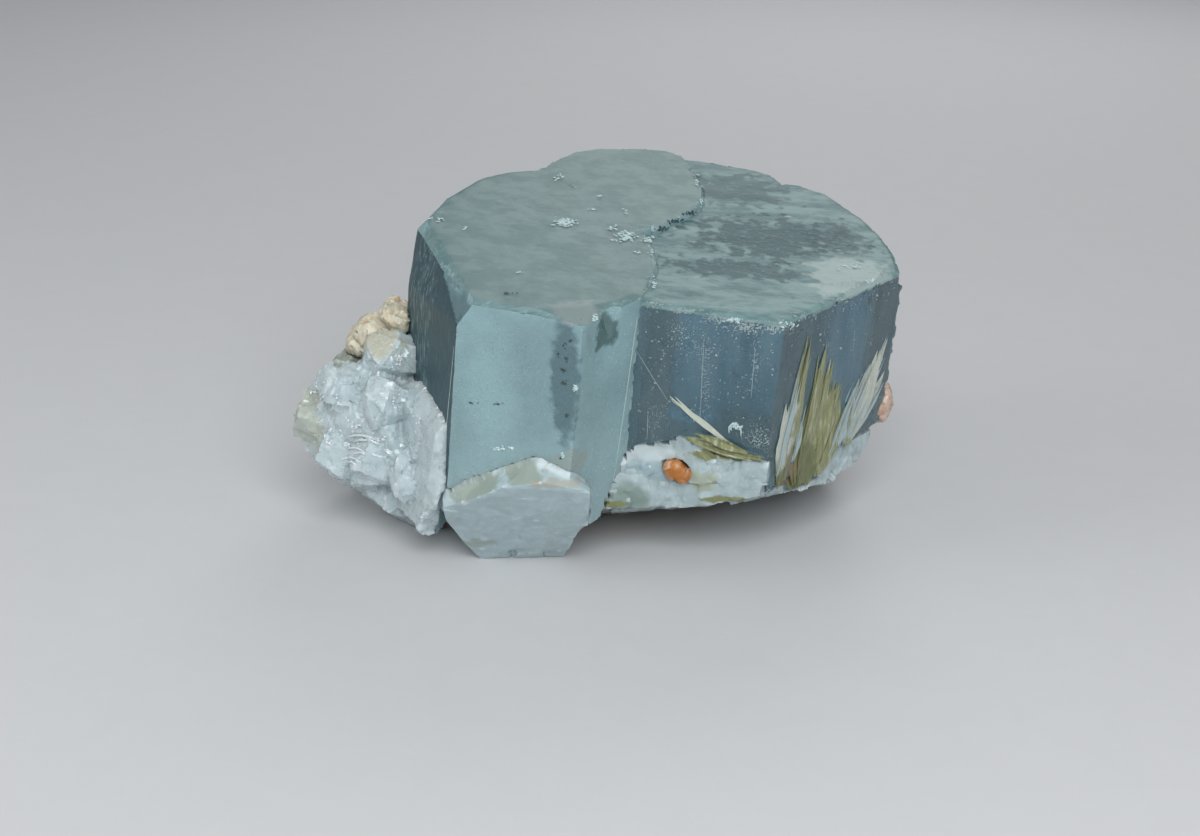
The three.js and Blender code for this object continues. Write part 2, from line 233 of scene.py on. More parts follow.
def work_object(work):
    mesh = bpy.data.meshes.new("work")
    work.to_mesh(mesh)
    piece = bpy.data.objects.new("work", mesh)
    bpy.context.scene.collection.objects.link(piece)
    return piece


def evaluated(piece):
    graph = bpy.context.evaluated_depsgraph_get()
    mesh = bpy.data.meshes.new_from_object(piece.evaluated_get(graph))
    work = bmesh.new()
    work.from_mesh(mesh)
    bpy.data.meshes.remove(mesh)
    return work


def drop(*pieces):
    for piece in pieces:
        mesh = piece.data
        bpy.data.objects.remove(piece)
        bpy.data.meshes.remove(mesh)


def combined(solid, other, operation, own_overlaps=False):
    """A Boolean of two closed meshes."""
    body, tool = work_object(solid), work_object(other)
    step = body.modifiers.new("combine", "BOOLEAN")
    step.operation = operation
    step.solver = "EXACT"
    step.use_self = own_overlaps
    step.object = tool
    result = evaluated(body)
    drop(body, tool)
    return result


def common_part(solid, cutter):
    """What two closed meshes have in common."""
    result = combined(solid, cutter, "INTERSECT")
    bmesh.ops.remove_doubles(result, verts=result.verts, dist=MERGE)
    return result


FAR_AWAY = 900


def closed_union(work):
    """Joins the overlapping solids of one mesh, with the help of a far cube that is removed again."""
    cube = bmesh.new()
    hull(cube, [Vector((FAR_AWAY + x, y, z)) for x in (0, 1) for y in (0, 1) for z in (0, 1)])
    result = combined(work, cube, "UNION", own_overlaps=True)
    far = [v for v in result.verts if v.co.x > FAR_AWAY / 2]
    bmesh.ops.delete(result, geom=far, context="VERTS")
    bmesh.ops.remove_doubles(result, verts=result.verts, dist=MERGE)
    return result


SHARP = math.radians(18)
EDGE_STEP = 0.05  # distance between the points that stand for a sharp edge
FACE_SNAP = 2  # within this many mesh cells a point is put on the solid's face
EDGE_SNAP = 0.55  # and within this share of one, on its sharp edge
CELL_MERGE = 0.12  # points nearer than this share of a mesh cell are made one


def edge_points(work):
    """Points along the sharp edges of a mesh, in a tree."""
    places = []
    for edge in work.edges:
        if len(edge.link_faces) == 2 and edge.calc_face_angle(0) > SHARP:
            start, end = (v.co for v in edge.verts)
            steps = max(1, round((end - start).length / EDGE_STEP))
            places += [start.lerp(end, i / steps) for i in range(steps + 1)]
    tree = KDTree(len(places))
    for i, place in enumerate(places):
        tree.insert(place, i)
    tree.balance()
    return tree


def fine_mesh(source, voxel):
    """An even fine mesh of a solid whose points lie on the solid's own faces and sharp edges."""
    body = work_object(source)
    remesh = body.modifiers.new("remesh", "REMESH")
    remesh.mode = "VOXEL"
    remesh.voxel_size = voxel
    fine = evaluated(body)
    drop(body)
    surface = tree_of(source)
    edges = edge_points(source)
    for vert in fine.verts:
        place, _, _, distance = surface.find_nearest(vert.co)
        if distance < FACE_SNAP * voxel:
            vert.co = place
        near, _, reach = edges.find(vert.co)
        if reach < EDGE_SNAP * voxel:
            vert.co = near
    bmesh.ops.remove_doubles(fine, verts=fine.verts, dist=voxel * CELL_MERGE)
    fine.normal_update()
    return fine, edges


def shift(work, offset):
    """Moves every point along its normal by what offset gives for its place and normal."""
    moves = [(v, v.normal.copy(), offset(v.co, v.normal)) for v in work.verts]
    for vert, normal, amount in moves:
        vert.co += normal * amount


def rough(place, size, octaves=3):
    """Soft noise from -1 to 1 with lumps of that size in millimetres."""
    return noise.fractal(place / size, 0.9, 2.1, octaves)


def facets(place, cell, salt=0.0):
    """Broken facets: every cell of the break is a small plane with its own tilt."""
    spot = place / cell + Vector((salt, salt * 2, salt * 3))
    centre = noise.voronoi(spot)[1][0]
    tilt = noise.cell_vector(centre * 17.3) - Vector((0.5, 0.5, 0.5))
    return (spot - centre).dot(tilt) * cell


CLEARANCE = 0.3  # gap that the solids keep, closed here because the stone has grown against the crystal
CONTACT = 0.55  # how near to the crystal a point of the stone has to be to be drawn onto it
PRESS = 1.15  # how far it is drawn, as a share of the way, so that no gap shows


def meet_crystal(work):
    """Draws the stone's points next to the crystal up to it."""
    for vert in work.verts:
        place, _, _, distance = CRYSTAL_TREE.find_nearest(vert.co)
        if distance < CONTACT:
            vert.co += (place - vert.co) * PRESS
        elif distance < 2 * CONTACT:
            vert.co += (place - vert.co).normalized() * CLEARANCE * (2 - distance / CONTACT)


def rest_on_floor(work):
    """Keeps every point on or above the floor, and the foot flat."""
    for vert in work.verts:
        vert.co.z = max(vert.co.z, 0.0)


def write_piece(name, work, material, replaced, sharp=28):
    """Turns a worked mesh into a shown piece that stands for its CAD nodes."""
    bmesh.ops.scale(work, vec=(MM,) * 3, verts=work.verts)
    mesh = bpy.data.meshes.new(name)
    work.to_mesh(mesh)
    work.free()
    mesh.shade_smooth()
    mesh.set_sharp_from_angle(angle=math.radians(sharp))
    piece = bpy.data.objects.new(name, mesh)
    bpy.context.scene.collection.objects.link(piece)
    settle(piece, material, replaced)
    return piece


def settle(piece, material, replaced=()):
    piece.data.materials.clear()
    piece.data.materials.append(material)
    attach(piece, "root")
    if replaced:
        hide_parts(*replaced)


# Shader nodes

def add(tree, kind, values=None, **settings):
    """Adds a node. Values are sockets to link or plain numbers, by socket name or index."""
    node = tree.nodes.new(kind)
    for key, value in settings.items():
        setattr(node, key, value)
    for key, value in (values or {}).items():
        if isinstance(value, bpy.types.NodeSocket):
            tree.links.new(value, node.inputs[key])
        else:
            node.inputs[key].default_value = value
    return node


def math_node(tree, operation, *values):
    return add(tree, "ShaderNodeMath", dict(enumerate(values)), operation=operation).outputs[0]


def times(tree, first, second):
    return math_node(tree, "MULTIPLY", first, second)


def times_plus(tree, first, second, third):
    return math_node(tree, "MULTIPLY_ADD", first, second, third)


def clouds_of(tree, place, scale, detail, **more):
    """The value of a noise texture."""
    values = {"Vector": place, "Scale": scale, "Detail": detail}
    values.update(more)
    return add(tree, "ShaderNodeTexNoise", values).outputs["Fac"]


def vector_node(tree, operation, first, second=None):
    values = {0: first}
    if second is not None:
        values[1] = second
    node = add(tree, "ShaderNodeVectorMath", values, operation=operation)
    return node.outputs["Value" if operation in ("LENGTH", "DOT_PRODUCT") else "Vector"]


def ramp(tree, value, low, high, to_low=0.0, to_high=1.0):
    """Maps a value smoothly from one range to another."""
    return add(
        tree, "ShaderNodeMapRange",
        {"Value": value, "From Min": low, "From Max": high, "To Min": to_low, "To Max": to_high},
        interpolation_type="SMOOTHSTEP",
    ).outputs["Result"]


def mix(tree, mask, first, second):
    """Mixes two colours by a mask."""
    node = add(tree, "ShaderNodeMix", {"Factor": mask}, data_type="RGBA")
    for socket, value in ((node.inputs[6], first), (node.inputs[7], second)):
        if isinstance(value, bpy.types.NodeSocket):
            tree.links.new(value, socket)
        else:
            socket.default_value = (*value[:3], 1.0)
    return node.outputs[2]


def new_group(name, inputs, outputs):
    """A shader node group with named sockets. Returns its tree, its input sockets and its output node."""
    tree = bpy.data.node_groups.new(name, "ShaderNodeTree")
    for label, kind, value in inputs:
        socket = tree.interface.new_socket(label, in_out="INPUT", socket_type=kind)
        if value is not None:
            socket.default_value = value
    for label in outputs:
        tree.interface.new_socket(label, in_out="OUTPUT", socket_type="NodeSocketFloat")
    source = tree.nodes.new("NodeGroupInput")
    target = tree.nodes.new("NodeGroupOutput")
    return tree, source.outputs, target.inputs


def patch_group():
    """A ragged patch around a point, for stains, windows and tints."""
    tree, given, out = new_group(
        "Patch",
        [("Place", "NodeSocketVector", None), ("Centre", "NodeSocketVector", (0, 0, 0)),
         ("Reach", "NodeSocketVector", (1, 1, 1)), ("Raggedness", "NodeSocketFloat", 0.4),
         ("Grain", "NodeSocketFloat", 0.8)],
        ["Mask"],
    )
    offset = vector_node(tree, "SUBTRACT", given["Place"], given["Centre"])
    share = vector_node(tree, "DIVIDE", offset, given["Reach"])
    distance = vector_node(tree, "LENGTH", share)
    drift = math_node(tree, "SUBTRACT", clouds_of(tree, given["Place"], given["Grain"], 5.0), 0.5)
    wide = times(tree, drift, given["Raggedness"])
    wavering = times_plus(tree, wide, 4.0, distance)
    tree.links.new(ramp(tree, wavering, 1.15, 0.7), out["Mask"])
    return tree


def etch_group():
    """Small etch pits and pale streaks, drawn out along one direction."""
    tree, given, out = new_group(
        "Etching",
        [("Place", "NodeSocketVector", None), ("Stretch", "NodeSocketVector", (1, 1, 1)),
         ("Scale", "NodeSocketFloat", 2.0), ("Cover", "NodeSocketFloat", 0.5)],
        ["Mask", "Height"],
    )
    drawn = vector_node(tree, "MULTIPLY", given["Place"], given["Stretch"])
    fine = clouds_of(tree, drawn, given["Scale"], 6.0, Roughness=0.7)
    pits = add(tree, "ShaderNodeTexVoronoi", {"Vector": drawn, "Scale": given["Scale"]})
    pit = ramp(tree, pits.outputs["Distance"], 0.1, 0.45)
    level = math_node(tree, "SUBTRACT", 1.0, given["Cover"])
    high = math_node(tree, "ADD", level, 0.16)
    mask = add(tree, "ShaderNodeMapRange", {"Value": fine, "From Min": level, "From Max": high})
    tree.links.new(mask.outputs["Result"], out["Mask"])
    tree.links.new(times_plus(tree, fine, 0.7, times(tree, pit, 0.3)), out["Height"])
    return tree


def grain_group():
    """Soft cloudy grain of a broken stone, with thin healed cracks through it."""
    tree, given, out = new_group(
        "Stone grain",
        [("Place", "NodeSocketVector", None), ("Size", "NodeSocketFloat", 1.0)],
        ["Value", "Height"],
    )
    scale = math_node(tree, "DIVIDE", 1.0, given["Size"])
    soft = clouds_of(tree, given["Place"], scale, 8.0, Roughness=0.62, Distortion=0.6)
    veins = clouds_of(tree, given["Place"], times(tree, scale, 0.6), 3.0, Distortion=1.5)
    middle = math_node(tree, "ABSOLUTE", math_node(tree, "SUBTRACT", veins, 0.5))
    crack = ramp(tree, middle, 0.012, 0.0)
    tree.links.new(times_plus(tree, crack, 0.22, soft), out["Value"])
    tree.links.new(times_plus(tree, crack, -0.25, soft), out["Height"])
    return tree


def wear_and_highlight_group():
    """Worn edges with a painted edge highlight: where the surface bulges, broken up by clouds."""
    tree, given, out = new_group(
        "Edge wear",
        [("Place", "NodeSocketVector", None), ("Amount", "NodeSocketFloat", 0.5)],
        ["Mask"],
    )
    geometry = tree.nodes.new("ShaderNodeNewGeometry")
    raised = ramp(tree, geometry.outputs["Pointiness"], 0.545, 0.63)
    worn_and_lit_edge = times(tree, raised, ramp(tree, clouds_of(tree, given["Place"], 1.6, 4.0), 0.35, 0.6))
    tree.links.new(times(tree, worn_and_lit_edge, given["Amount"]), out["Mask"])
    return tree


GROUPS = {}


def use(tree, name, values):
    """Places one of the shared groups in a material."""
    node = tree.nodes.new("ShaderNodeGroup")
    node.node_tree = GROUPS[name]
    for key, value in values.items():
        if isinstance(value, bpy.types.NodeSocket):
            tree.links.new(value, node.inputs[key])
        else:
            node.inputs[key].default_value = value
    return node.outputs


def new_material(name, **plain):
    """A material with a Principled BSDF whose plain values are set on its own sockets."""
    material = bpy.data.materials.new(name)
    material.use_nodes = True
    tree = material.node_tree
    shader = tree.nodes["Principled BSDF"]
    for key, value in plain.items():
        shader.inputs[key.replace("_", " ")].default_value = value
    place = tree.nodes.new("ShaderNodeTexCoord").outputs["Object"]
    millimetres = add(tree, "ShaderNodeMapping", {"Vector": place, "Scale": (1 / MM,) * 3})
    return material, tree, shader, millimetres.outputs["Vector"]


def relief(tree, shader, height, strength, distance):
    bump = add(tree, "ShaderNodeBump", {"Height": height, "Strength": strength, "Distance": distance * MM})
    tree.links.new(bump.outputs["Normal"], shader.inputs["Normal"])


def patch(tree, place, centre, reach, raggedness=0.4, grain=0.8):
    return use(tree, "patch", {"Place": place, "Centre": tuple(centre), "Reach": tuple(reach),
                               "Raggedness": raggedness, "Grain": grain})["Mask"]


def stain(tree, place, body, surface, spots, within=None):
    """Mixes ragged patches of colour into a body colour, only where the mask within lets them."""
    for pixel, reach, raggedness, grain, strength, tint in spots:
        spot = patch(tree, place, seen_at(pixel, surface)[0], reach, raggedness, grain)
        if within is not None:
            spot = times(tree, spot, within)
        body = mix(tree, times(tree, spot, strength), body, tint)
    return body


def facing(tree, direction, low, high):
    """A mask of the surface that faces a direction of the specimen."""
    geometry = tree.nodes.new("ShaderNodeNewGeometry")
    towards = vector_node(tree, "DOT_PRODUCT", geometry.outputs["True Normal"], tuple(direction))
    return ramp(tree, towards, low, high)


# Settings

def length(name, description, default):
    return FloatProperty(name=name, description=description, default=default * MM, min=0.0,
                         unit="LENGTH", precision=5)


def colour(name, description, default):
    return FloatVectorProperty(name=name, description=description, default=default, subtype="COLOR",
                               size=3, min=0.0, max=1.0)


def share(name, description, default):
    return FloatProperty(name=name, description=description, default=default, min=0.0, max=1.0,
                         subtype="FACTOR")


def number(name, description, default, low=0.0, unit="NONE"):
    return FloatProperty(name=name, description=description, default=default, min=low, unit=unit)


def count(name, description, default, low=0):
    return IntProperty(name=name, description=description, default=default, min=low)


class CrystalSettings(bpy.types.PropertyGroup):
    fineness: length("Fineness", "Size of the crystal's mesh cells", 0.24)
    edge_wear: length("Edge wear", "Depth of the small chips along the edges", 0.07)
    etch_depth: length("Etch depth", "Depth of the etching on the top", 0.1)
    milky_colour: colour("Milky colour", "Colour of the left lobe", (0.28, 0.43, 0.46))
    milky_clearness: share("Milky clearness", "How much light goes through the left lobe", 0.35)
    clear_tint: colour("Clear tint", "What the right lobe lets through", (0.1, 0.5, 0.64))
    clear_density: number("Clear density", "Absorption of the right lobe, for each metre", 105.0)
    clearness: share("Clearness", "How much light goes through the right lobe", 0.85)
    cap_clearness: share("Cap clearness", "How much light goes through the right lobe's etched top", 0.12)
    refraction: number("Refraction", "Refractive index of beryl", 1.577, 1.0)


class InclusionSettings(bpy.types.PropertyGroup):
    specks: count("Specks", "Number of specks on and under the right lobe's front faces", 2200)
    dark: colour("Dark specks", "Colour of the dark specks", (0.03, 0.06, 0.06))
    # The pale colour also goes into the painted edge highlights on the crystal.
    pale: colour("Pale marks", "Colour of the pale flakes, chips and scratches", (0.5, 0.62, 0.62))


class MatrixSettings(bpy.types.PropertyGroup):
    fineness: length("Fineness", "Size of the mesh cells of the broken stone", 0.22)
    break_depth: length("Break depth", "Depth of the broken facets", 0.35)
    quartz_colour: colour("Quartz", "Colour of the milky quartz", (0.56, 0.67, 0.7))
    block_colour: colour("Front block", "Colour of the pale block", (0.43, 0.55, 0.58))
    matrix_colour: colour("Matrix", "Colour of the matrix under the crystal", (0.42, 0.52, 0.54))
    green: colour("Green film", "Colour of the green films", (0.22, 0.24, 0.11))
    cream: colour("Cream", "Colour of the cream feldspar", (0.56, 0.53, 0.41))
    brown: colour("Brown stain", "Colour of the iron stain below", (0.16, 0.09, 0.045))


class MicaSettings(bpy.types.PropertyGroup):
    leaves: count("Leaves", "Leaves in each blade", 22, 1)
    leaf: length("Leaf thickness", "Thickness of one leaf", 0.05)
    olive: colour("Olive", "Colour of the mica", (0.2, 0.215, 0.1))
    silver: colour("Silver", "Colour of the mica's bright edges", (0.58, 0.63, 0.58))


class StageSettings(bpy.types.PropertyGroup):
    floor_colour: colour("Floor", "Colour of the floor", (0.56, 0.57, 0.58))
    floor_size: length("Floor size", "Width of the floor", 3000)
    key_power: number("Key light", "Power of the main softbox", 0.85, unit="POWER")
    fill_power: number("Fill light", "Power of the side and the back softbox", 0.2, unit="POWER")
    surround: share("Surround", "Brightness of the soft light all round", 0.38)


# Stage

LIGHT_AIM = (2, 2, 10)  # the middle of the specimen
LIGHTS = (  # name, place, width, which setting holds the power
    ("key", (40, -260, 190), 220, "key_power"),
    ("fill", (-260, -90, 120), 180, "fill_power"),
    ("back", (60, 260, 180), 200, "fill_power"),
)
HORIZON = (0.38, 0.4, 0.42)
ZENITH = (0.95, 0.97, 1.0)


def add_light(name, place, size, power):
    data = bpy.data.lights.new(name, "AREA")
    data.shape = "DISK"
    data.size = size * MM
    data.energy = power
    light = bpy.data.objects.new(name, data)
    light.location = Vector(place) * MM
    light.rotation_euler = (Vector(LIGHT_AIM) - Vector(place)).to_track_quat("-Z", "Y").to_euler()
    bpy.context.scene.collection.objects.link(light)


def add_camera():
    right, up, back = camera_axes()
    data = bpy.data.cameras.new("camera")
    data.lens = CAMERA_LENS
    data.sensor_width = SENSOR_WIDTH
    data.clip_start = 10 * MM
    camera = bpy.data.objects.new("camera", data)
    turn = Matrix((right, up, back)).transposed().to_4x4()
    camera.matrix_world = Matrix.Translation(CAMERA_PLACE * MM) @ turn
    bpy.context.scene.collection.objects.link(camera)
    bpy.context.scene.camera = camera


class SPECIMEN_OT_stage(bpy.types.Operator):
    """Makes the camera, the pale floor and the soft studio light"""

    bl_idname = "specimen.stage"
    bl_label = "Stage"

    def execute(self, context):
        settings = context.scene.specimen_stage
        add_camera()
        half = settings.floor_size / 2
        mesh = bpy.data.meshes.new("floor")
        corners = [(-half, -half, 0), (half, -half, 0), (half, half, 0), (-half, half, 0)]
        mesh.from_pydata(corners, [], [(0, 1, 2, 3)])
        floor = bpy.data.objects.new("floor", mesh)
        context.scene.collection.objects.link(floor)
        material, tree, shader, place = new_material("floor_card", Roughness=0.8, Specular_IOR_Level=0.15)
        fibre = use(tree, "grain", {"Place": place, "Size": 4.0})
        tint = tuple(settings.floor_colour)
        lighter = tuple(min(1.0, c * 1.05) for c in tint)
        tree.links.new(mix(tree, fibre["Value"], tint, lighter), shader.inputs["Base Color"])
        mesh.materials.append(material)
        for name, place, size, power in LIGHTS:
            add_light(name, place, size, getattr(settings, power))
        world = bpy.data.worlds.new("studio")
        world.use_nodes = True
        sky = world.node_tree
        direction = sky.nodes.new("ShaderNodeTexCoord")
        height = add(sky, "ShaderNodeSeparateXYZ", {0: direction.outputs["Generated"]})
        shade = ramp(sky, height.outputs["Z"], -0.1, 0.9)
        light = mix(sky, shade, HORIZON, ZENITH)
        backdrop = sky.nodes["Background"]
        sky.links.new(light, backdrop.inputs["Color"])
        backdrop.inputs["Strength"].default_value = settings.surround
        context.scene.world = world
        context.scene.view_settings.view_transform = "Standard"
        return {"FINISHED"}


# The crystal

# Boundary between the milky and the clear lobe, from the front to the back, in the crystal's frame
LOBE_LINE = (
    (0.0, -15), (0.0, 0.0), (-0.1, 0.8), (0.4, 3.2), (0.3, 6.2), (-0.3, 9.1), (-1.5, 11.5), (-2.1, 12.6),
    (-0.7, 14), (0.5, 16.8), (1.5, 19.1), (1.7, 21.3), (1.3, 23.6), (0, 26.8), (-0.8, 29), (-2.1, 40),
)
LOBE_FRONT = -15  # the cutters reach past the crystal on every side
LOBE_BACK = 40
LOBE_SIDE = 40
LOBE_BOTTOM = -30
LOBE_TOP = 10
LOBE_OVERLAP = 0.12  # how far each piece runs past the boundary, so that no air shows between them
CAP_DEPTH = 0.55  # thickness of the etched, frosted top of the clear lobe


def lobe_cutter(side, low, high):
    """Everything on one side of the boundary: -1 for the milky lobe, 1 for the clear one."""
    outline = [(x - side * LOBE_OVERLAP, y) for x, y in LOBE_LINE]
    outline += [(side * LOBE_SIDE, LOBE_BACK), (side * LOBE_SIDE, LOBE_FRONT)]
    return prism(outline, low, high)


# The left and back lobes have healed together along this line of the top
HEALED = (Vector((-12, 24.2)), Vector((-8.3, 22)), Vector((-2.1, 12.6)))
HEALED_REACH = 1.6  # how far the healing reaches to each side of it
LEFT_TOP = 0.35  # height of each lobe's top there, in the crystal's frame
BACK_TOP = 0.45
GROOVE_FLOOR = -0.6  # lower points belong to the sides, not to the groove
GROOVE_RIM = 0.3  # points below this are raised only in the middle of the healed strip
GROOVE_SHARE = 0.18
TO_CRYSTAL = CRYSTAL.inverted()


def healed(place):
    """Where a place lies across the healed line, from 0 at the left lobe to 1 at the back lobe, or None."""
    spot = place.to_2d()
    nearest = None
    for start, end in zip(HEALED, HEALED[1:]):
        along = end - start
        t = min(1.0, max(0.0, (spot - start).dot(along) / along.length_squared))
        aside = spot - start - along * t
        if nearest is None or aside.length < nearest[0]:
            across = math.copysign(aside.length, along.cross(spot - start))
            nearest = (aside.length, across)
    if nearest[0] > HEALED_REACH:
        return None
    return (nearest[1] / HEALED_REACH + 1) / 2


def heal_top(work):
    """Fills the groove between the left and the back lobe up to their tops."""
    for vert in work.verts:
        place = TO_CRYSTAL @ vert.co
        if place.z <= GROOVE_FLOOR:
            continue
        across = healed(place)
        if across is None:
            continue
        if place.z < GROOVE_RIM and not GROOVE_SHARE < across < 1 - GROOVE_SHARE:
            continue
        place.z = LEFT_TOP + (BACK_TOP - LEFT_TOP) * across
        vert.co = CRYSTAL @ place


# Slots around the mica: outlines along and up the right front face, at it and deep inside, and the
# corners of the slot around the streak, across and up the front face
FILL_TOUCH = 0.002  # how far inside the face a filling starts
FAN_FRONT = ((0.5, -1.4), (15.9, -1.4), (0.5, -14.1), (6.0, -13.8), (15.9, -13.1))
FAN_DEEP = ((1.4, -1.4), (14.4, -1.4), (1.4, -14.0), (6.0, -13.7), (14.4, -13.2))
FAN_DEPTH = 2.4
STREAK_SLOT = ((3.2, -8.7), (10.4, -10.6), (3.6, -10.6), (10.4, -11.4))
STREAK_DEPTH = 1.6


def mica_fill(work):
    """Closes the slots around the mica, which has grown inside the clear lobe."""
    front = [on_right_face(along, height, -FILL_TOUCH) for along, height in FAN_FRONT]
    deep = [on_right_face(along, height, -FAN_DEPTH) for along, height in FAN_DEEP]
    hull(work, front + deep)
    hull(work, [in_specimen((x, depth, z)) for depth in (FILL_TOUCH, STREAK_DEPTH) for x, z in STREAK_SLOT])


CHIP_REACH = 0.35  # how far from an edge its chips reach
TERRACE_HEIGHT = 0.35


def etched(edges, settings):
    """How far a point of the crystal's surface is worn, etched or stepped."""
    wear = settings.edge_wear / MM
    depth = settings.etch_depth / MM

    def offset(place, normal):
        _, _, reach = edges.find(place)
        near_edge = math.exp(-((reach / CHIP_REACH) ** 2))
        if normal.dot(UP) > 0.7 and healed(TO_CRYSTAL @ place) is not None:
            near_edge = 0.0
        chipped = max(0.0, rough(place, 1.3) + 0.15) * near_edge * wear
        if normal.dot(UP) > 0.8:
            terrace = math.floor(2.5 * rough(place + Vector((3, 5, 0)), 9, 2)) * TERRACE_HEIGHT
            pits = max(0.0, rough(place, 0.55) - 0.25)
            return -chipped - depth * (0.45 - 0.3 * terrace + 0.8 * pits)
        along = place.dot(UP)
        ribs = noise.noise(Vector((place.x * 1.4, place.y * 1.4, along * 0.06)))
        return -chipped - 0.25 * depth * (0.5 + ribs * 0.5)

    return offset


EVEN = (1, 1, 1)  # an etching that isn't drawn out along any direction
LEFT_MARKS = (419, 300)  # pixel in the photograph of the etched marks on the left face
WINDOW = (565, 382)  # and of the clear band in the milky front face, darkened with painted shade
MILKY_STAINS = (  # pixel, reach, raggedness, grain, strength, colour
    ((606, 330), (1.1, 1.6, 1.5), 0.5, 1.0, 0.8, (0.08, 0.15, 0.14)),  # dark smudge beside the window
    ((577, 313), (2.2, 2.0, 0.7), 0.3, 1.0, 0.7, (0.36, 0.43, 0.43)),  # pinkish bevel above it
    ((574, 462), (1.8, 1.6, 1.0), 0.45, 0.9, 0.4, (0.42, 0.41, 0.34)),  # tan film over the block
)
CAP_SHADED_CLEARINGS = (  # the clearer patches of the top, darkened with painted shade: pixel, reach, strength
    ((768, 238), (6.4, 4.6, 2), 0.85), ((735, 268), (5.5, 1.8, 2), 0.75),
    ((838, 240), (2.4, 4.2, 2), 0.7), ((735, 190), (4.4, 4.0, 2), 0.6),
)
CAP_STAINS = (
    ((852, 278), (3.4, 5.0, 2), 0.5, 0.9, 0.75, (0.4, 0.5, 0.49)),  # bright frosted corner at the right
)


def milky_material(settings, pale):
    material, tree, shader, place = new_material(
        "milky_beryl", IOR=settings.refraction, Transmission_Weight=settings.milky_clearness,
        Subsurface_Weight=0.35, Subsurface_Radius=(1.0, 1.4, 1.6), Subsurface_Scale=1.2 * MM,
        Specular_IOR_Level=0.2)
    base = Vector(settings.milky_colour)
    clouds = clouds_of(tree, place, 0.16, 4.0)
    body = mix(tree, ramp(tree, clouds, 0.35, 0.65), tuple(base), tuple(base * 1.28))
    streaks = use(tree, "etching", {"Place": place, "Stretch": (1.2, 1.2, 0.08), "Scale": 0.8,
                                    "Cover": 0.42})
    body = mix(tree, times(tree, streaks["Mask"], 0.3), body, tuple(base * 0.72))
    parts = add(tree, "ShaderNodeSeparateXYZ", {0: place})
    low = ramp(tree, parts.outputs["Z"], 17.0, 4.0)
    body = mix(tree, times(tree, low, 0.4), body, (0.42, 0.57, 0.6))
    up = facing(tree, UP, 0.75, 0.92)
    mottle = clouds_of(tree, place, 0.45, 6.0, Roughness=0.6)
    top = mix(tree, ramp(tree, mottle, 0.38, 0.62), (0.15, 0.26, 0.26), (0.22, 0.34, 0.34))
    body = mix(tree, up, body, top)
    # Painted shade: the left face is given a dark colour, with the pale etch marks over it.
    left = facing(tree, CRYSTAL.to_3x3() @ Vector((-0.866, -0.5, 0)), 0.8, 0.95)
    etch = use(tree, "etching", {"Place": place, "Stretch": (1.4, 1.4, 0.35), "Scale": 2.6, "Cover": 0.5})
    marked = patch(tree, place, seen_at(LEFT_MARKS)[0], (3.5, 4.0, 7.0), 0.4, 0.4)
    marks = times(tree, etch["Mask"], times_plus(tree, marked, 0.75, 0.15))
    body = mix(tree, left, body, mix(tree, marks, (0.04, 0.095, 0.115), (0.34, 0.5, 0.52)))
    # Painted shade: the clear band is painted dark teal, with darker specks in it.
    window = patch(tree, place, seen_at(WINDOW)[0], (1.12, 1.5, 5.6), 0.27, 1.3)
    specks = use(tree, "etching", {"Place": place, "Stretch": EVEN, "Scale": 1.7, "Cover": 0.36})
    window_shade_and_specks = mix(tree, specks["Mask"], (0.12, 0.205, 0.235), (0.055, 0.115, 0.14))
    body = mix(tree, times(tree, window, 0.88), body, window_shade_and_specks)
    body = stain(tree, place, body, CRYSTAL_TREE, MILKY_STAINS)
    # Pale bulging edges: worn edges with a painted edge highlight.
    wear = use(tree, "wear", {"Place": place, "Amount": 0.45})["Mask"]
    tree.links.new(mix(tree, wear, body, pale), shader.inputs["Base Color"])
    fine = use(tree, "etching", {"Place": place, "Stretch": EVEN, "Scale": 3.2, "Cover": 0.45})
    matte = times_plus(tree, math_node(tree, "MAXIMUM", up, left), 0.25, 0.22)
    tree.links.new(times_plus(tree, fine["Mask"], 0.12, matte), shader.inputs["Roughness"])
    relief(tree, shader, fine["Height"], 0.35, 0.05)
    return material


def clear_material(settings):
    material, tree, shader, place = new_material(
        "clear_beryl", IOR=settings.refraction, Transmission_Weight=settings.clearness)
    up = facing(tree, UP, 0.75, 0.92)
    frost = ramp(tree, clouds_of(tree, place, 0.22, 6.0, Roughness=0.65), 0.42, 0.6, 0.22, 0.6)
    etch = use(tree, "etching", {"Place": place, "Stretch": (1, 1, 0.4), "Scale": 2.6, "Cover": 0.4})
    faces = times_plus(tree, etch["Mask"], 0.16, 0.1)
    dull = add(tree, "ShaderNodeMix", {"Factor": up, 2: faces, 3: frost}, data_type="FLOAT")
    wear = use(tree, "wear", {"Place": place, "Amount": 1.0})["Mask"]
    tree.links.new(times_plus(tree, wear, 0.4, dull.outputs[0]), shader.inputs["Roughness"])
    haze = clouds_of(tree, vector_node(tree, "MULTIPLY", place, (1, 1, 0.2)), 0.5, 5.0)
    body = mix(tree, ramp(tree, haze, 0.35, 0.7), (0.3, 0.54, 0.62), (0.5, 0.76, 0.84))
    blots = use(tree, "etching", {"Place": place, "Stretch": (1, 1, 0.7), "Scale": 1.1, "Cover": 0.42})
    parts = add(tree, "ShaderNodeSeparateXYZ", {0: place})
    high = ramp(tree, parts.outputs["Z"], 11.0, 16.0)
    body = mix(tree, times(tree, blots["Mask"], high), body, (0.16, 0.32, 0.4))
    # White on the bulging edges: worn edges with a painted edge highlight.
    tree.links.new(mix(tree, wear, body, (1, 1, 1)), shader.inputs["Base Color"])
    relief(tree, shader, etch["Height"], 0.3, 0.04)
    depth_tint = add(tree, "ShaderNodeVolumeAbsorption", {"Color": (*settings.clear_tint, 1.0),
                                                          "Density": settings.clear_density})
    tree.links.new(depth_tint.outputs[0], tree.nodes["Material Output"].inputs["Volume"])
    return material


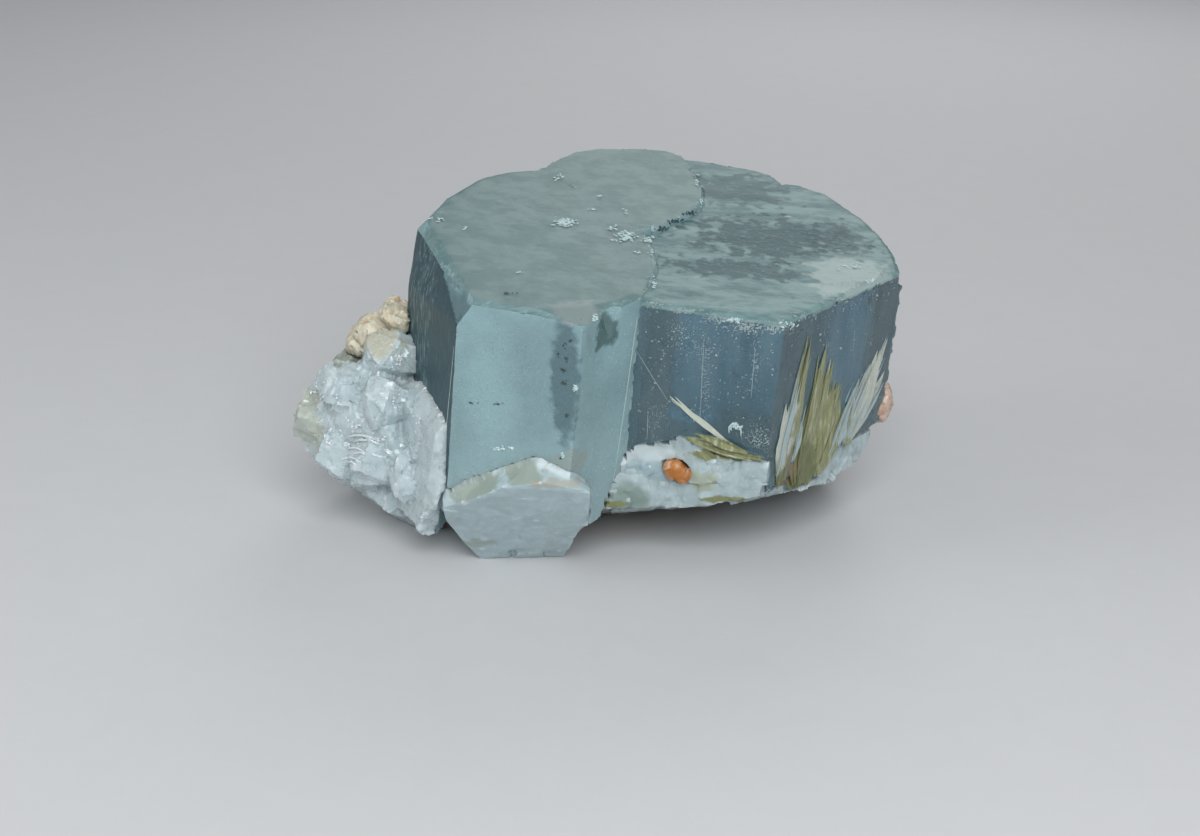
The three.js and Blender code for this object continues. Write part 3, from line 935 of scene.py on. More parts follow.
def cap_material(settings, pale):
    """The frosted top of the clear lobe, with painted shade on the patches where it is clearer."""
    material, tree, shader, place = new_material(
        "etched_beryl", IOR=settings.refraction, Transmission_Weight=settings.cap_clearness,
        Specular_IOR_Level=0.1)
    drawn = vector_node(tree, "MULTIPLY", place, (0.4, 1, 1))
    clouds = clouds_of(tree, drawn, 0.55, 8.0, Roughness=0.7)
    body = mix(tree, ramp(tree, clouds, 0.38, 0.62), (0.09, 0.18, 0.19), (0.21, 0.33, 0.33))
    fine = use(tree, "etching", {"Place": place, "Stretch": (0.6, 1.0, 1.0), "Scale": 2.2, "Cover": 0.46})
    # Painted shade: the clearer patches are painted dark and speckled.
    painted_shade_speckles = mix(tree, fine["Mask"], (0.01, 0.06, 0.075), (0.14, 0.28, 0.3))
    for pixel, reach, strength in CAP_SHADED_CLEARINGS:
        clear = patch(tree, place, seen_at(pixel)[0], reach, 0.75, 0.9)
        soft = times(tree, clear, times_plus(tree, fine["Mask"], -0.35, strength))
        body = mix(tree, soft, body, painted_shade_speckles)
    body = stain(tree, place, body, CRYSTAL_TREE, CAP_STAINS)
    # Pale bulging edges: worn edges with a painted edge highlight.
    wear = use(tree, "wear", {"Place": place, "Amount": 0.8})["Mask"]
    tree.links.new(mix(tree, wear, body, pale), shader.inputs["Base Color"])
    tree.links.new(times_plus(tree, fine["Mask"], 0.2, 0.42), shader.inputs["Roughness"])
    relief(tree, shader, fine["Height"], 0.6, 0.1)
    return material


class SPECIMEN_OT_crystal(bpy.types.Operator):
    """Makes the milky lobe, the clear lobe and the clear lobe's etched top"""

    bl_idname = "specimen.crystal"
    bl_label = "Crystal"

    def execute(self, context):
        settings = context.scene.specimen_crystal
        pale = tuple(context.scene.specimen_inclusions.pale)
        voxel = settings.fineness / MM
        lobes = (
            ("milky_lobe", -1, LOBE_BOTTOM, LOBE_TOP, milky_material(settings, pale)),
            ("clear_lobe", 1, LOBE_BOTTOM, -CAP_DEPTH + LOBE_OVERLAP, clear_material(settings)),
            ("etched_cap", 1, -CAP_DEPTH, LOBE_TOP, cap_material(settings, pale)),
        )
        for name, side, low, high, material in lobes:
            solid = node_mesh("aquamarine")
            if name == "clear_lobe":
                mica_fill(solid)
                solid = closed_union(solid)
            part = common_part(solid, lobe_cutter(side, low, high))
            fine, edges = fine_mesh(part, voxel)
            if name == "milky_lobe":
                heal_top(fine)
            shift(fine, etched(edges, settings))
            write_piece(name, fine, material, ["aquamarine"])
        return {"FINISHED"}


# Marks on the crystal and specks in it

PALE_SPOTS = (  # pixel in the photograph, half width and half height in pixels, grains
    ((566, 222), 10, 4, 90), ((626, 236), 11, 5, 90), ((648, 240), 6, 4, 36), ((612, 228), 4, 3, 14),
    ((437, 219), 7, 3, 9), ((654, 283), 2, 7, 14), ((594, 318), 4, 3, 10), ((501, 448), 11, 2, 16),
    ((575, 389), 2, 2, 5), ((562, 456), 3, 3, 6), ((853, 266), 12, 4, 18), ((870, 281), 8, 3, 14),
    ((735, 320), 8, 3, 12), ((789, 326), 9, 4, 14), ((600, 195), 3, 2, 4), ((592, 209), 6, 1, 5),
    # The narrow spots at (697, 182) and (702, 202) stand for the faint highlight along the step down to the
    # clear lobe's top: painted highlight.
    ((652, 252), 2, 3, 5), ((522, 273), 4, 1, 4), ((466, 228), 3, 2, 4), ((697, 182), 2, 7, 9),
    ((702, 202), 2, 7, 9), ((560, 176), 7, 4, 12), ((735, 426), 5, 3, 16), ((626, 212), 3, 3, 4),
    ((640, 252), 4, 2, 6),
)
# Pale flakes along the clear lobe's top rim: partly real flakes, partly a painted rim highlight.
RIM_FLAKES_AND_HIGHLIGHT = (
    ((655, 304), 14, 3, 50), ((690, 311), 18, 3, 70), ((722, 319), 16, 4, 80), ((748, 327), 14, 6, 120),
    ((775, 328), 16, 6, 120), ((802, 316), 14, 4, 60), ((832, 299), 16, 4, 70), ((862, 283), 16, 4, 70),
    ((885, 273), 9, 4, 30),
)
DARK_SPOTS = (
    ((563, 383), 3, 4, 7), ((566, 415), 2, 3, 5), ((563, 369), 3, 3, 4), ((561, 458), 1, 1, 2),
    ((509, 293), 9, 1, 9), ((563, 350), 6, 14, 9), ((500, 404), 9, 1, 3), ((475, 403), 8, 1, 3),
    ((661, 229), 6, 2, 26), ((675, 221), 8, 2, 34), ((690, 213), 7, 2, 26),
)
CURL = ((729, 433), (729, 427), (733, 423), (738, 425), (741, 430), (741, 436))
HAIR = ((636, 350), (652, 376), (668, 401))
SCRATCHES = (((704, 338), (700, 420)), ((755, 350), (751, 398)), ((824, 330), (828, 352)),
             ((648, 410), (647, 440)), ((855, 330), (853, 352)))
# Pale lines along two upright edges of the milky lobe: painted edge highlights.
EDGE_HIGHLIGHT_LINES = (((640, 299), (625, 405), (610, 505)), ((456, 322), (446, 430), (441, 500)))
VEILS = (
    ((762, 440), 18, 16, 420), ((700, 345), 26, 22, 120), ((850, 300), 20, 18, 130),
    ((680, 330), 20, 14, 80), ((655, 425), 14, 20, 120), ((706, 380), 5, 46, 150),
    ((755, 365), 4, 34, 90), ((640, 470), 20, 12, 90),
)
# Sizes in millimetres: the grains of the spots, and half the widths of the drawn lines
PALE_GRAIN = 0.17
DARK_GRAIN = 0.14
VEIL_GRAIN = 0.05
RIM_GRAIN = 0.085
CURL_WIDTH = 0.07
EDGE_HIGHLIGHT_WIDTH = 0.05
SCRATCH_WIDTH = 0.02
# Specks on and under the clear lobe's two front faces, in the crystal's frame
SPECK_TOP = -0.7
SPECK_DROP = 8.5
PALE_SHARE = 0.4
PALE_LIFT = 0.005  # pale specks lie on the face, dark ones up to DARK_DEPTH and a little under it
DARK_DEPTH = 0.5
FRONT_SHARE = 0.68
FRONT_SPAN = (0.5, 9.8)
RIGHT_SPAN = (0.7, 14)


def scatter_spots(shapes, spots, tree, grain, sink=-0.02):
    """Flat grains on the surface around some pixels."""
    chance = shapes.chance
    for pixel, wide, high, grains in spots:
        for _ in range(grains):
            spot = (pixel[0] + chance.gauss(0, 0.5) * wide, pixel[1] + chance.gauss(0, 0.5) * high)
            place, normal, _, _ = tree.ray_cast(CAMERA_PLACE, sight(spot))
            if place is None:
                continue
            turn = Vector(chance.uniform(-1, 1) for _ in range(3))
            size = grain * chance.uniform(0.5, 1.4)
            shapes.crumb(place - normal * sink, flat_axes(normal, turn, size, size * 0.6, grain * 0.3))


STROKE_STEPS = 4  # parts between two pixels of a line
STROKE_GAP = 0.03  # least distance between two of its stations


def stroke(shapes, pixels, tree, width, sink):
    """A thin closed line on or under the surface through some pixels."""
    places = []
    for start, end in zip(pixels, pixels[1:]):
        for i in range(STROKE_STEPS + 1):
            t = i / STROKE_STEPS
            spot = (start[0] + (end[0] - start[0]) * t, start[1] + (end[1] - start[1]) * t)
            place, normal, _, _ = tree.ray_cast(CAMERA_PLACE, sight(spot))
            if place is not None and (not places or (place - places[-1][0]).length > STROKE_GAP):
                places.append((place, normal))
    centres = [place - normal * sink for place, normal in places]
    sides = []
    lifts = []
    for i, (_, normal) in enumerate(places):
        along = centres[min(i + 1, len(centres) - 1)] - centres[max(i - 1, 0)]
        taper = 0.35 + 0.65 * math.sin(math.pi * (i + 0.5) / len(places))
        sides.append(normal.cross(along).normalized() * width * taper)
        lifts.append(normal * width * 0.5 * taper)
    shapes.strip(centres, sides, lifts)


def mark_material(name, tint, roughness, **plain):
    material, tree, shader, place = new_material(name, **plain)
    grain = use(tree, "grain", {"Place": place, "Size": 0.4})
    base = Vector(tint)
    body = mix(tree, grain["Value"], tuple(base * 0.8), tuple(base * 1.15))
    tree.links.new(body, shader.inputs["Base Color"])
    tree.links.new(times_plus(tree, grain["Value"], 0.2, roughness), shader.inputs["Roughness"])
    return material


class SPECIMEN_OT_marks(bpy.types.Operator):
    """Makes the pale and dark marks, flakes and specks on the crystal, and the pale lines of painted edge
    highlight
    """

    bl_idname = "specimen.marks"
    bl_label = "Marks and specks"

    def execute(self, context):
        settings = context.scene.specimen_inclusions
        pale = mark_material("pale_chips", settings.pale, 0.15, Subsurface_Weight=0.2,
                             Subsurface_Scale=0.5 * MM)
        dark = mark_material("dark_specks", settings.dark, 0.3)
        misty = mark_material("misty_flakes", Vector(settings.pale) * 0.6, 0.4)
        tree = CRYSTAL_TREE
        white = Shapes(seed=11)
        scatter_spots(white, PALE_SPOTS, tree, PALE_GRAIN)
        stroke(white, CURL, tree, CURL_WIDTH, 0.0)
        # Painted edge highlights, drawn as pale strokes just under the surface.
        for line in EDGE_HIGHLIGHT_LINES:
            stroke(white, line, tree, EDGE_HIGHLIGHT_WIDTH, 0.03)
        settle(white.finish("pale_marks"), pale)
        haze = Shapes(seed=13)
        for line in (HAIR, *SCRATCHES):
            stroke(haze, line, tree, SCRATCH_WIDTH, 0.0)
        scatter_spots(haze, VEILS, tree, VEIL_GRAIN, 0.0)
        # Rim flakes, partly a painted rim highlight.
        scatter_spots(haze, RIM_FLAKES_AND_HIGHLIGHT, tree, RIM_GRAIN, 0.01)
        settle(haze.finish("misty_flakes"), misty)
        black = Shapes(seed=12)
        scatter_spots(black, DARK_SPOTS, tree, DARK_GRAIN)
        settle(black.finish("dark_marks"), dark)
        self.specks(settings, misty, dark)
        return {"FINISHED"}

    def specks(self, settings, pale, dark):
        """Specks on and just under the clear lobe's front faces, thickest in their upper halves."""
        light = Shapes(seed=21)
        deep = Shapes(seed=22)
        chance = random.Random(23)
        for _ in range(settings.specks):
            height = SPECK_TOP - SPECK_DROP * chance.random() ** 1.3
            pale_one = chance.random() < PALE_SHARE
            depth = -PALE_LIFT if pale_one else 0.03 + DARK_DEPTH * chance.random() ** 2
            if chance.random() < FRONT_SHARE:
                along = FRONT_SPAN[0] + FRONT_SPAN[1] * chance.random()
                if rough(Vector((along, 3, height)), 2.2) < -0.1:
                    continue
                centre = in_specimen((along, depth, height))
                normal = CRYSTAL.to_3x3() @ Vector((0, -1, 0))
            else:
                along = RIGHT_SPAN[0] + RIGHT_SPAN[1] * chance.random()
                height *= 0.6
                centre = on_right_face(along, height, -depth)
                normal = on_right_face(0, 0, 1) - on_right_face(0, 0, 0)
            turn = Vector(chance.uniform(-1, 1) for _ in range(3))
            tilted = (normal + turn * 0.5).normalized()
            size = 0.035 + 0.1 * chance.random() ** 3
            target = light if pale_one else deep
            target.crumb(centre, flat_axes(tilted, turn, size, size * chance.uniform(0.3, 0.9), size * 0.3))
        settle(light.finish("pale_specks"), pale)
        settle(deep.finish("dark_specks"), dark)


# Broken stone

def broken(depth, salt, coarse=2.6, fine=0.9):
    """Broken facets in two sizes with a little roughness over them."""
    def offset(place, normal):
        large = facets(place, coarse, salt) * 0.5
        small = facets(place, fine, salt + 5) * 0.6
        return depth * (large + small + 0.12 * rough(place, 0.5)) - 0.1 * depth
    return offset


def stone_material(name, base, contrast=0.2, **plain):
    values = {"Subsurface_Weight": 0.35, "Subsurface_Radius": (1.0, 1.1, 1.1),
              "Subsurface_Scale": 1.0 * MM, "IOR": 1.54, "Coat_Weight": 0.2, "Coat_Roughness": 0.15}
    values.update(plain)
    material, tree, shader, place = new_material(name, **values)
    grain = use(tree, "grain", {"Place": place, "Size": 1.4})
    base = Vector(base)
    body = mix(tree, ramp(tree, grain["Value"], 0.35, 0.75), tuple(base * (1 - contrast)),
               tuple(base * (1 + contrast)))
    return material, tree, shader, place, grain, body


def finish_stone(tree, shader, place, grain, body, worn_and_lit_edge=(0.8, 0.85, 0.86), roughness=0.3, bump=0.3):
    # Pale bulging edges: worn edges with a painted edge highlight.
    wear = use(tree, "wear", {"Place": place, "Amount": 0.55})["Mask"]
    tree.links.new(mix(tree, wear, body, worn_and_lit_edge), shader.inputs["Base Color"])
    dull = times_plus(tree, grain["Value"], 0.3, roughness - 0.12)
    tree.links.new(dull, shader.inputs["Roughness"])
    fine = use(tree, "grain", {"Place": place, "Size": 0.35})
    relief(tree, shader, fine["Height"], bump, 0.06)


def floor_stain(tree, place, body, brown, top=3.2, cover=(0.45, 0.62)):
    """Brown iron stain that rises a little from the floor."""
    parts = add(tree, "ShaderNodeSeparateXYZ", {0: place})
    low = ramp(tree, parts.outputs["Z"], top, 0.3)
    mask = times(tree, low, ramp(tree, clouds_of(tree, place, 0.35, 6.0), *cover))
    return mix(tree, mask, body, brown)


def write_stone(name, node, solid, material, voxel, offset, sharp):
    """Breaks a stone's faces, draws it up to the crystal and the floor, and shows it."""
    fine, _ = fine_mesh(solid, voxel)
    shift(fine, offset)
    meet_crystal(fine)
    rest_on_floor(fine)
    write_piece(name, fine, material, [node], sharp)


GLINTS = (
    ((320, 388), 10, 12, 34), ((390, 402), 12, 18, 44), ((352, 425), 10, 8, 16), ((336, 402), 8, 8, 14),
    ((366, 440), 18, 8, 26), ((422, 424), 7, 9, 12), ((398, 360), 6, 12, 14), ((330, 440), 8, 10, 12),
    ((405, 448), 6, 8, 6), ((372, 500), 14, 10, 6),
)
SLAB_START = -14.0  # where the slab begins, across the specimen
SLAB_BLEND = 1.5  # over how far it begins
SLAB_SMOOTH = 0.6
FEATHER = (366, 436)  # top middle of the feathered ridges on the quartz
FEATHER_WIDE = 36
FEATHER_ROWS = 7
FEATHER_STEP = 4.6  # pixels between two ridges
FEATHER_RISE = 3.2  # pixels by which a ridge's middle is higher than its ends
GLINT_GRAIN = 0.17
QUARTZ_STAINS = (  # pixel, reach, raggedness, grain, strength, colour
    ((298, 418), (2.4, 3.0, 3.0), 0.35, 0.5, 0.8, (0.52, 0.56, 0.47)),  # yellowish left tip
    ((378, 336), (1.9, 2.6, 1.5), 0.5, 0.7, 0.85, (0.56, 0.56, 0.44)),  # cream rim under the feldspar
    ((350, 354), (1.9, 2.4, 0.8), 0.7, 0.9, 1.0, (0.3, 0.33, 0.28)),  # dark film beside the rim
)
BLOCK_FILMS = (
    ((472, 489), (3.2, 3, 1.6), 0.4, 0.9, 0.75, (0.25, 0.3, 0.24)),  # green films on the bevels
    ((524, 474), (1.5, 3, 1.2), 0.4, 0.9, 0.75, (0.25, 0.3, 0.24)),
)
BLOCK_STAINS = (
    ((482, 544), (1.0, 1, 0.6), 0.9, 0.9, 0.45, (0.25, 0.28, 0.2)),  # green foot
    ((562, 484), (2.2, 1.2, 0.35), 0.9, 0.9, 0.45, (0.44, 0.36, 0.25)),  # orange tint at the right edge
)
BLOCK_SPECKS = (
    ((500, 544), (0.9, 1, 0.6), 0.4, 1.4, 1.0, (0.06, 0.07, 0.06)),  # dark specks along the foot
    ((532, 550), (0.9, 1, 0.6), 0.4, 1.4, 1.0, (0.06, 0.07, 0.06)),
)
MATRIX_STAINS = (
    ((640, 455), (3.4, 3, 0.9), 0.5, 0.8, 1.0, (0.56, 0.66, 0.68)),  # white band along the top
    ((665, 470), (2.4, 2, 0.9), 0.5, 0.8, 0.7, (0.32, 0.45, 0.5)),  # bluish part left of the orange grain
    ((703, 481), (1.1, 2, 1.0), 0.35, 0.9, 0.75, (0.36, 0.4, 0.3)),  # sage part right of it
    ((630, 500), (1.6, 2, 1.4), 0.15, 0.6, 0.85, (0.2, 0.28, 0.25)),  # dark facet at the left end
)
MATRIX_FRINGES = (((607, 521), (1.6, 2, 0.3)), ((728, 500), (2.2, 2, 0.3)), ((716, 456), (2.0, 2, 0.4)))
GRAIN_CELL = 0.12
GRAIN_PIECES = (  # piece, CAD node, slot, colour or None for the cream setting, stain, depth of the breaks
    ("feldspar_lumps", "feldspar_rim", "cream_feldspar", None, (0.45, 0.33, 0.22), 0.65),
    ("feldspar_grain_piece", "feldspar_grain", "cream_feldspar", (0.55, 0.42, 0.34), (0.45, 0.28, 0.2),
     0.65),
    ("orange_stone", "orange_grain", "orange_stone", (0.42, 0.15, 0.02), (0.16, 0.05, 0.01), 0.325),
)


class SPECIMEN_OT_quartz(bpy.types.Operator):
    """Makes the broken milky quartz at the left"""

    bl_idname = "specimen.quartz"
    bl_label = "Quartz"

    def execute(self, context):
        settings = context.scene.specimen_matrix
        solid = node_mesh("quartz_mass")
        surface = tree_of(solid)
        material, tree, shader, place, grain, body = stone_material(
            "milky_quartz", settings.quartz_colour, 0.1, Transmission_Weight=0.2, Coat_Weight=0.4,
            Subsurface_Weight=0.6)
        body = stain(tree, place, body, surface, QUARTZ_STAINS)
        body = floor_stain(tree, place, body, tuple(settings.brown), 2.2, (0.5, 0.66))
        finish_stone(tree, shader, place, grain, body, roughness=0.26, bump=0.16)
        breaks = broken(settings.break_depth / MM * 1.15, 3.0, 2.8, 0.9)
        write_stone("milky_quartz", "quartz_mass", solid, material, settings.fineness / MM,
                    lambda spot, normal: breaks(spot, normal) * self.breakage(spot), 22)
        glints = Shapes(seed=51)
        scatter_spots(glints, GLINTS, surface, GLINT_GRAIN)
        for row in range(FEATHER_ROWS):
            low = FEATHER[1] + row * FEATHER_STEP
            left = FEATHER[0] - 0.5 * FEATHER_WIDE + 7 * math.sin(2.1 * row)
            wide = FEATHER_WIDE * (0.55 + 0.3 * math.sin(1.7 * row + 1))
            bow = [(left + wide * i / 4, low + 0.9 * i - FEATHER_RISE * math.sin(math.pi * i / 4))
                   for i in range(5)]
            stroke(glints, bow, surface, 0.07, -0.1)
        bright = mark_material("quartz_glints", (0.86, 0.92, 0.94), 0.05, Transmission_Weight=0.3)
        settle(glints.finish("quartz_glints"), bright)
        return {"FINISHED"}

    def breakage(self, spot):
        """The slab against the crystal's left face is smoother than the rest."""
        return 1 - SLAB_SMOOTH * min(1.0, max(0.0, (spot.x - SLAB_START) / SLAB_BLEND))


class SPECIMEN_OT_block(bpy.types.Operator):
    """Makes the pale cleaved block in front"""

    bl_idname = "specimen.block"
    bl_label = "Front block"

    def execute(self, context):
        settings = context.scene.specimen_matrix
        solid = node_mesh("front_block")
        surface = tree_of(solid)
        material, tree, shader, place, grain, body = stone_material(
            "pale_block", settings.block_colour, 0.1, Transmission_Weight=0.1, Subsurface_Weight=0.5)
        bevels = facing(tree, (0, -0.3, 0.95), 0.35, 0.6)
        body = stain(tree, place, body, surface, BLOCK_FILMS, bevels)
        body = stain(tree, place, body, surface, BLOCK_STAINS)
        specks = use(tree, "etching", {"Place": place, "Stretch": EVEN, "Scale": 1.6, "Cover": 0.34})
        body = stain(tree, place, body, surface, BLOCK_SPECKS, specks["Mask"])
        finish_stone(tree, shader, place, grain, body, roughness=0.34, bump=0.16)
        write_stone("pale_block", "front_block", solid, material, settings.fineness / MM,
                    broken(settings.break_depth / MM * 0.35, 8.0, 3.0, 1.0), 24)
        return {"FINISHED"}


class SPECIMEN_OT_matrix(bpy.types.Operator):
    """Makes the broken matrix under the crystal"""

    bl_idname = "specimen.matrix"
    bl_label = "Matrix"

    def execute(self, context):
        settings = context.scene.specimen_matrix
        solid = node_mesh("base_matrix")
        surface = tree_of(solid)
        material, tree, shader, place, grain, body = stone_material(
            "base_matrix", settings.matrix_colour, 0.14, Transmission_Weight=0.08, Subsurface_Weight=0.5)
        body = stain(tree, place, body, surface, MATRIX_STAINS)
        green = tuple(settings.green)
        fringes = [(pixel, reach, 0.6, 1.0, 1.0, green) for pixel, reach in MATRIX_FRINGES]
        body = stain(tree, place, body, surface, fringes)
        body = floor_stain(tree, place, body, tuple(settings.brown), 5.5, (0.4, 0.6))
        finish_stone(tree, shader, place, grain, body, roughness=0.34, bump=0.25)
        write_stone("broken_matrix", "base_matrix", solid, material, settings.fineness / MM,
                    broken(settings.break_depth / MM * 1.4, 14.0, 2.4, 1.0), 35)
        return {"FINISHED"}


class SPECIMEN_OT_grains(bpy.types.Operator):
    """Makes the feldspar lumps and the orange grain"""

    bl_idname = "specimen.grains"
    bl_label = "Feldspar and grains"

    def execute(self, context):
        settings = context.scene.specimen_matrix
        for name, node, slot, tint, stained, depth in GRAIN_PIECES:
            material, tree, shader, place, grain, body = stone_material(name, tint or settings.cream)
            body = mix(tree, ramp(tree, clouds_of(tree, place, 0.9, 5.0), 0.52, 0.72), body, stained)
            finish_stone(tree, shader, place, grain, body, worn_and_lit_edge=(0.7, 0.64, 0.52), roughness=0.45, bump=0.5)
            fine, _ = fine_mesh(node_mesh(node), GRAIN_CELL)
            shift(fine, lambda spot, normal: CLEARANCE * 1.5)
            shift(fine, broken(depth, 20.0, 1.5, 0.5))
            write_piece(name, fine, material, [node], sharp=35)
        return {"FINISHED"}


# Mica

MICA_FANS = (  # piece, CAD node, blades: start along and up the face, end, width, twist in degrees
    ("mica_left_leaves", "mica_left", ((2.3, -14.4, 3.7, -1.8, 2.0, 6), (2.0, -14.4, 1.9, -6.4, 1.8, -6))),
    ("mica_middle_leaves", "mica_middle", (
        (4.9, -15.4, 5.9, -3.4, 2.5, 5), (5.6, -15.4, 7.5, -5.0, 2.6, -6), (6.6, -15.2, 8.9, -7.2, 2.4, 7),
        (4.4, -15.4, 4.6, -8.6, 2.4, -5), (7.4, -15.2, 9.6, -10.0, 2.0, -6))),
    ("mica_right_leaves", "mica_right", (
        (10.9, -13.8, 15.2, -4.9, 1.8, 6), (10.9, -13.8, 13.6, -6.2, 1.9, -6),
        (10.9, -13.8, 11.8, -8.0, 1.8, 5), (11.4, -13.6, 14.8, -8.6, 1.8, -5))),
)
STRAND_FANS = (  # how many, root from and to, tip from and to, along and up the face
    (34, (8.0, -13.9), (11.6, -13.0), (10.6, -7.6), (15.7, -5.2)),
    (22, (8.6, -13.6), (12.4, -12.6), (12.6, -10.4), (15.8, -8.6)),
    (12, (1.3, -13.2), (1.8, -12.6), (2.6, -3.4), (3.6, -2.4)),
    (10, (2.8, -12.8), (3.6, -12.4), (3.4, -9.2), (4.4, -7.6)),
)
STREAK_LEAVES = 26
STREAK_HEIGHT = -11.4  # its level on the front face
STREAK_SLOPE = 0.16  # how much it rises towards the left
VEIL_LAYERS = 5  # wider leaves in front of it
VEIL_LIFT = 0.16  # how far the first of them lies out of the face
VEIL_STEP = 0.06
NEEDLE_LEAVES = 9
SILVER_AREAS = ((1.6, -7.5, (1.1, 1.6, 5.5)), (13.2, -8.5, (2.6, 3.4, 5.5)))  # along, up, reach
ROOT_AREA = (4.0, -14.0)  # the dark green root of the middle blades, along and up the face
TAN_AREA = (3.2, -13.6)
LEAF_STATIONS = 9
LEAF_TWIST = 6  # most that a leaf is turned about its length, in degrees
LEAF_OUT = 0.1  # how far the outermost leaves stand out of the face
LEAF_SPREAD = 0.3  # and how much further in the innermost ones lie


def leaf(shapes, start, end, width, thickness, normal):
    """One thin pointed leaf, a little bent."""
    chance = shapes.chance
    along = end - start
    side = along.cross(normal).normalized()
    bend = normal * chance.uniform(-0.12, 0.12) + side * chance.uniform(-0.2, 0.2)
    centres, sides, lifts = [], [], []
    for i in range(LEAF_STATIONS):
        t = i / (LEAF_STATIONS - 1)
        outline = min(1.0, 0.15 + 2.2 * t) * (1 - t ** 3) + 0.03
        ragged = 1 + 0.25 * chance.uniform(-1, 1) * t
        centres.append(start + along * t + bend * math.sin(math.pi * t))
        sides.append(side * width / 2 * outline * ragged)
        lifts.append(side.cross(along).normalized() * thickness / 2 * (1 - 0.7 * t))
    shapes.strip(centres, sides, lifts)


def mica_material(settings):
    material, tree, shader, place = new_material(
        "mica", IOR=1.58, Coat_Weight=0.4, Coat_Roughness=0.25, Transmission_Weight=0.2)
    drawn = vector_node(tree, "MULTIPLY", place, (4.2, 4.2, 0.4))
    strands = clouds_of(tree, drawn, 1.0, 5.0, Roughness=0.6)
    silver = tuple(settings.silver)
    body = mix(tree, ramp(tree, strands, 0.38, 0.62), tuple(settings.olive), (0.34, 0.37, 0.17))
    edge = ramp(tree, strands, 0.57, 0.68)
    body = mix(tree, times(tree, edge, 0.7), body, silver)
    root = patch(tree, place, on_right_face(*ROOT_AREA), (3.0, 3.0, 2.6), 0.4, 0.7)
    body = mix(tree, times(tree, root, 0.75), body, (0.1, 0.125, 0.03))
    for along, height, reach in SILVER_AREAS:
        area = patch(tree, place, on_right_face(along, height), reach, 0.35, 0.7)
        bright = times(tree, area, ramp(tree, strands, 0.3, 0.55, 0.55, 0.95))
        body = mix(tree, bright, body, silver)
    tan = patch(tree, place, on_right_face(*TAN_AREA), (1.0, 1.2, 1.6), 0.3, 1.0)
    body = mix(tree, times(tree, tan, 0.7), body, (0.21, 0.16, 0.07))
    tree.links.new(body, shader.inputs["Base Color"])
    tree.links.new(ramp(tree, strands, 0.35, 0.65, 0.42, 0.2), shader.inputs["Roughness"])
    relief(tree, shader, strands, 0.4, 0.05)
    return material


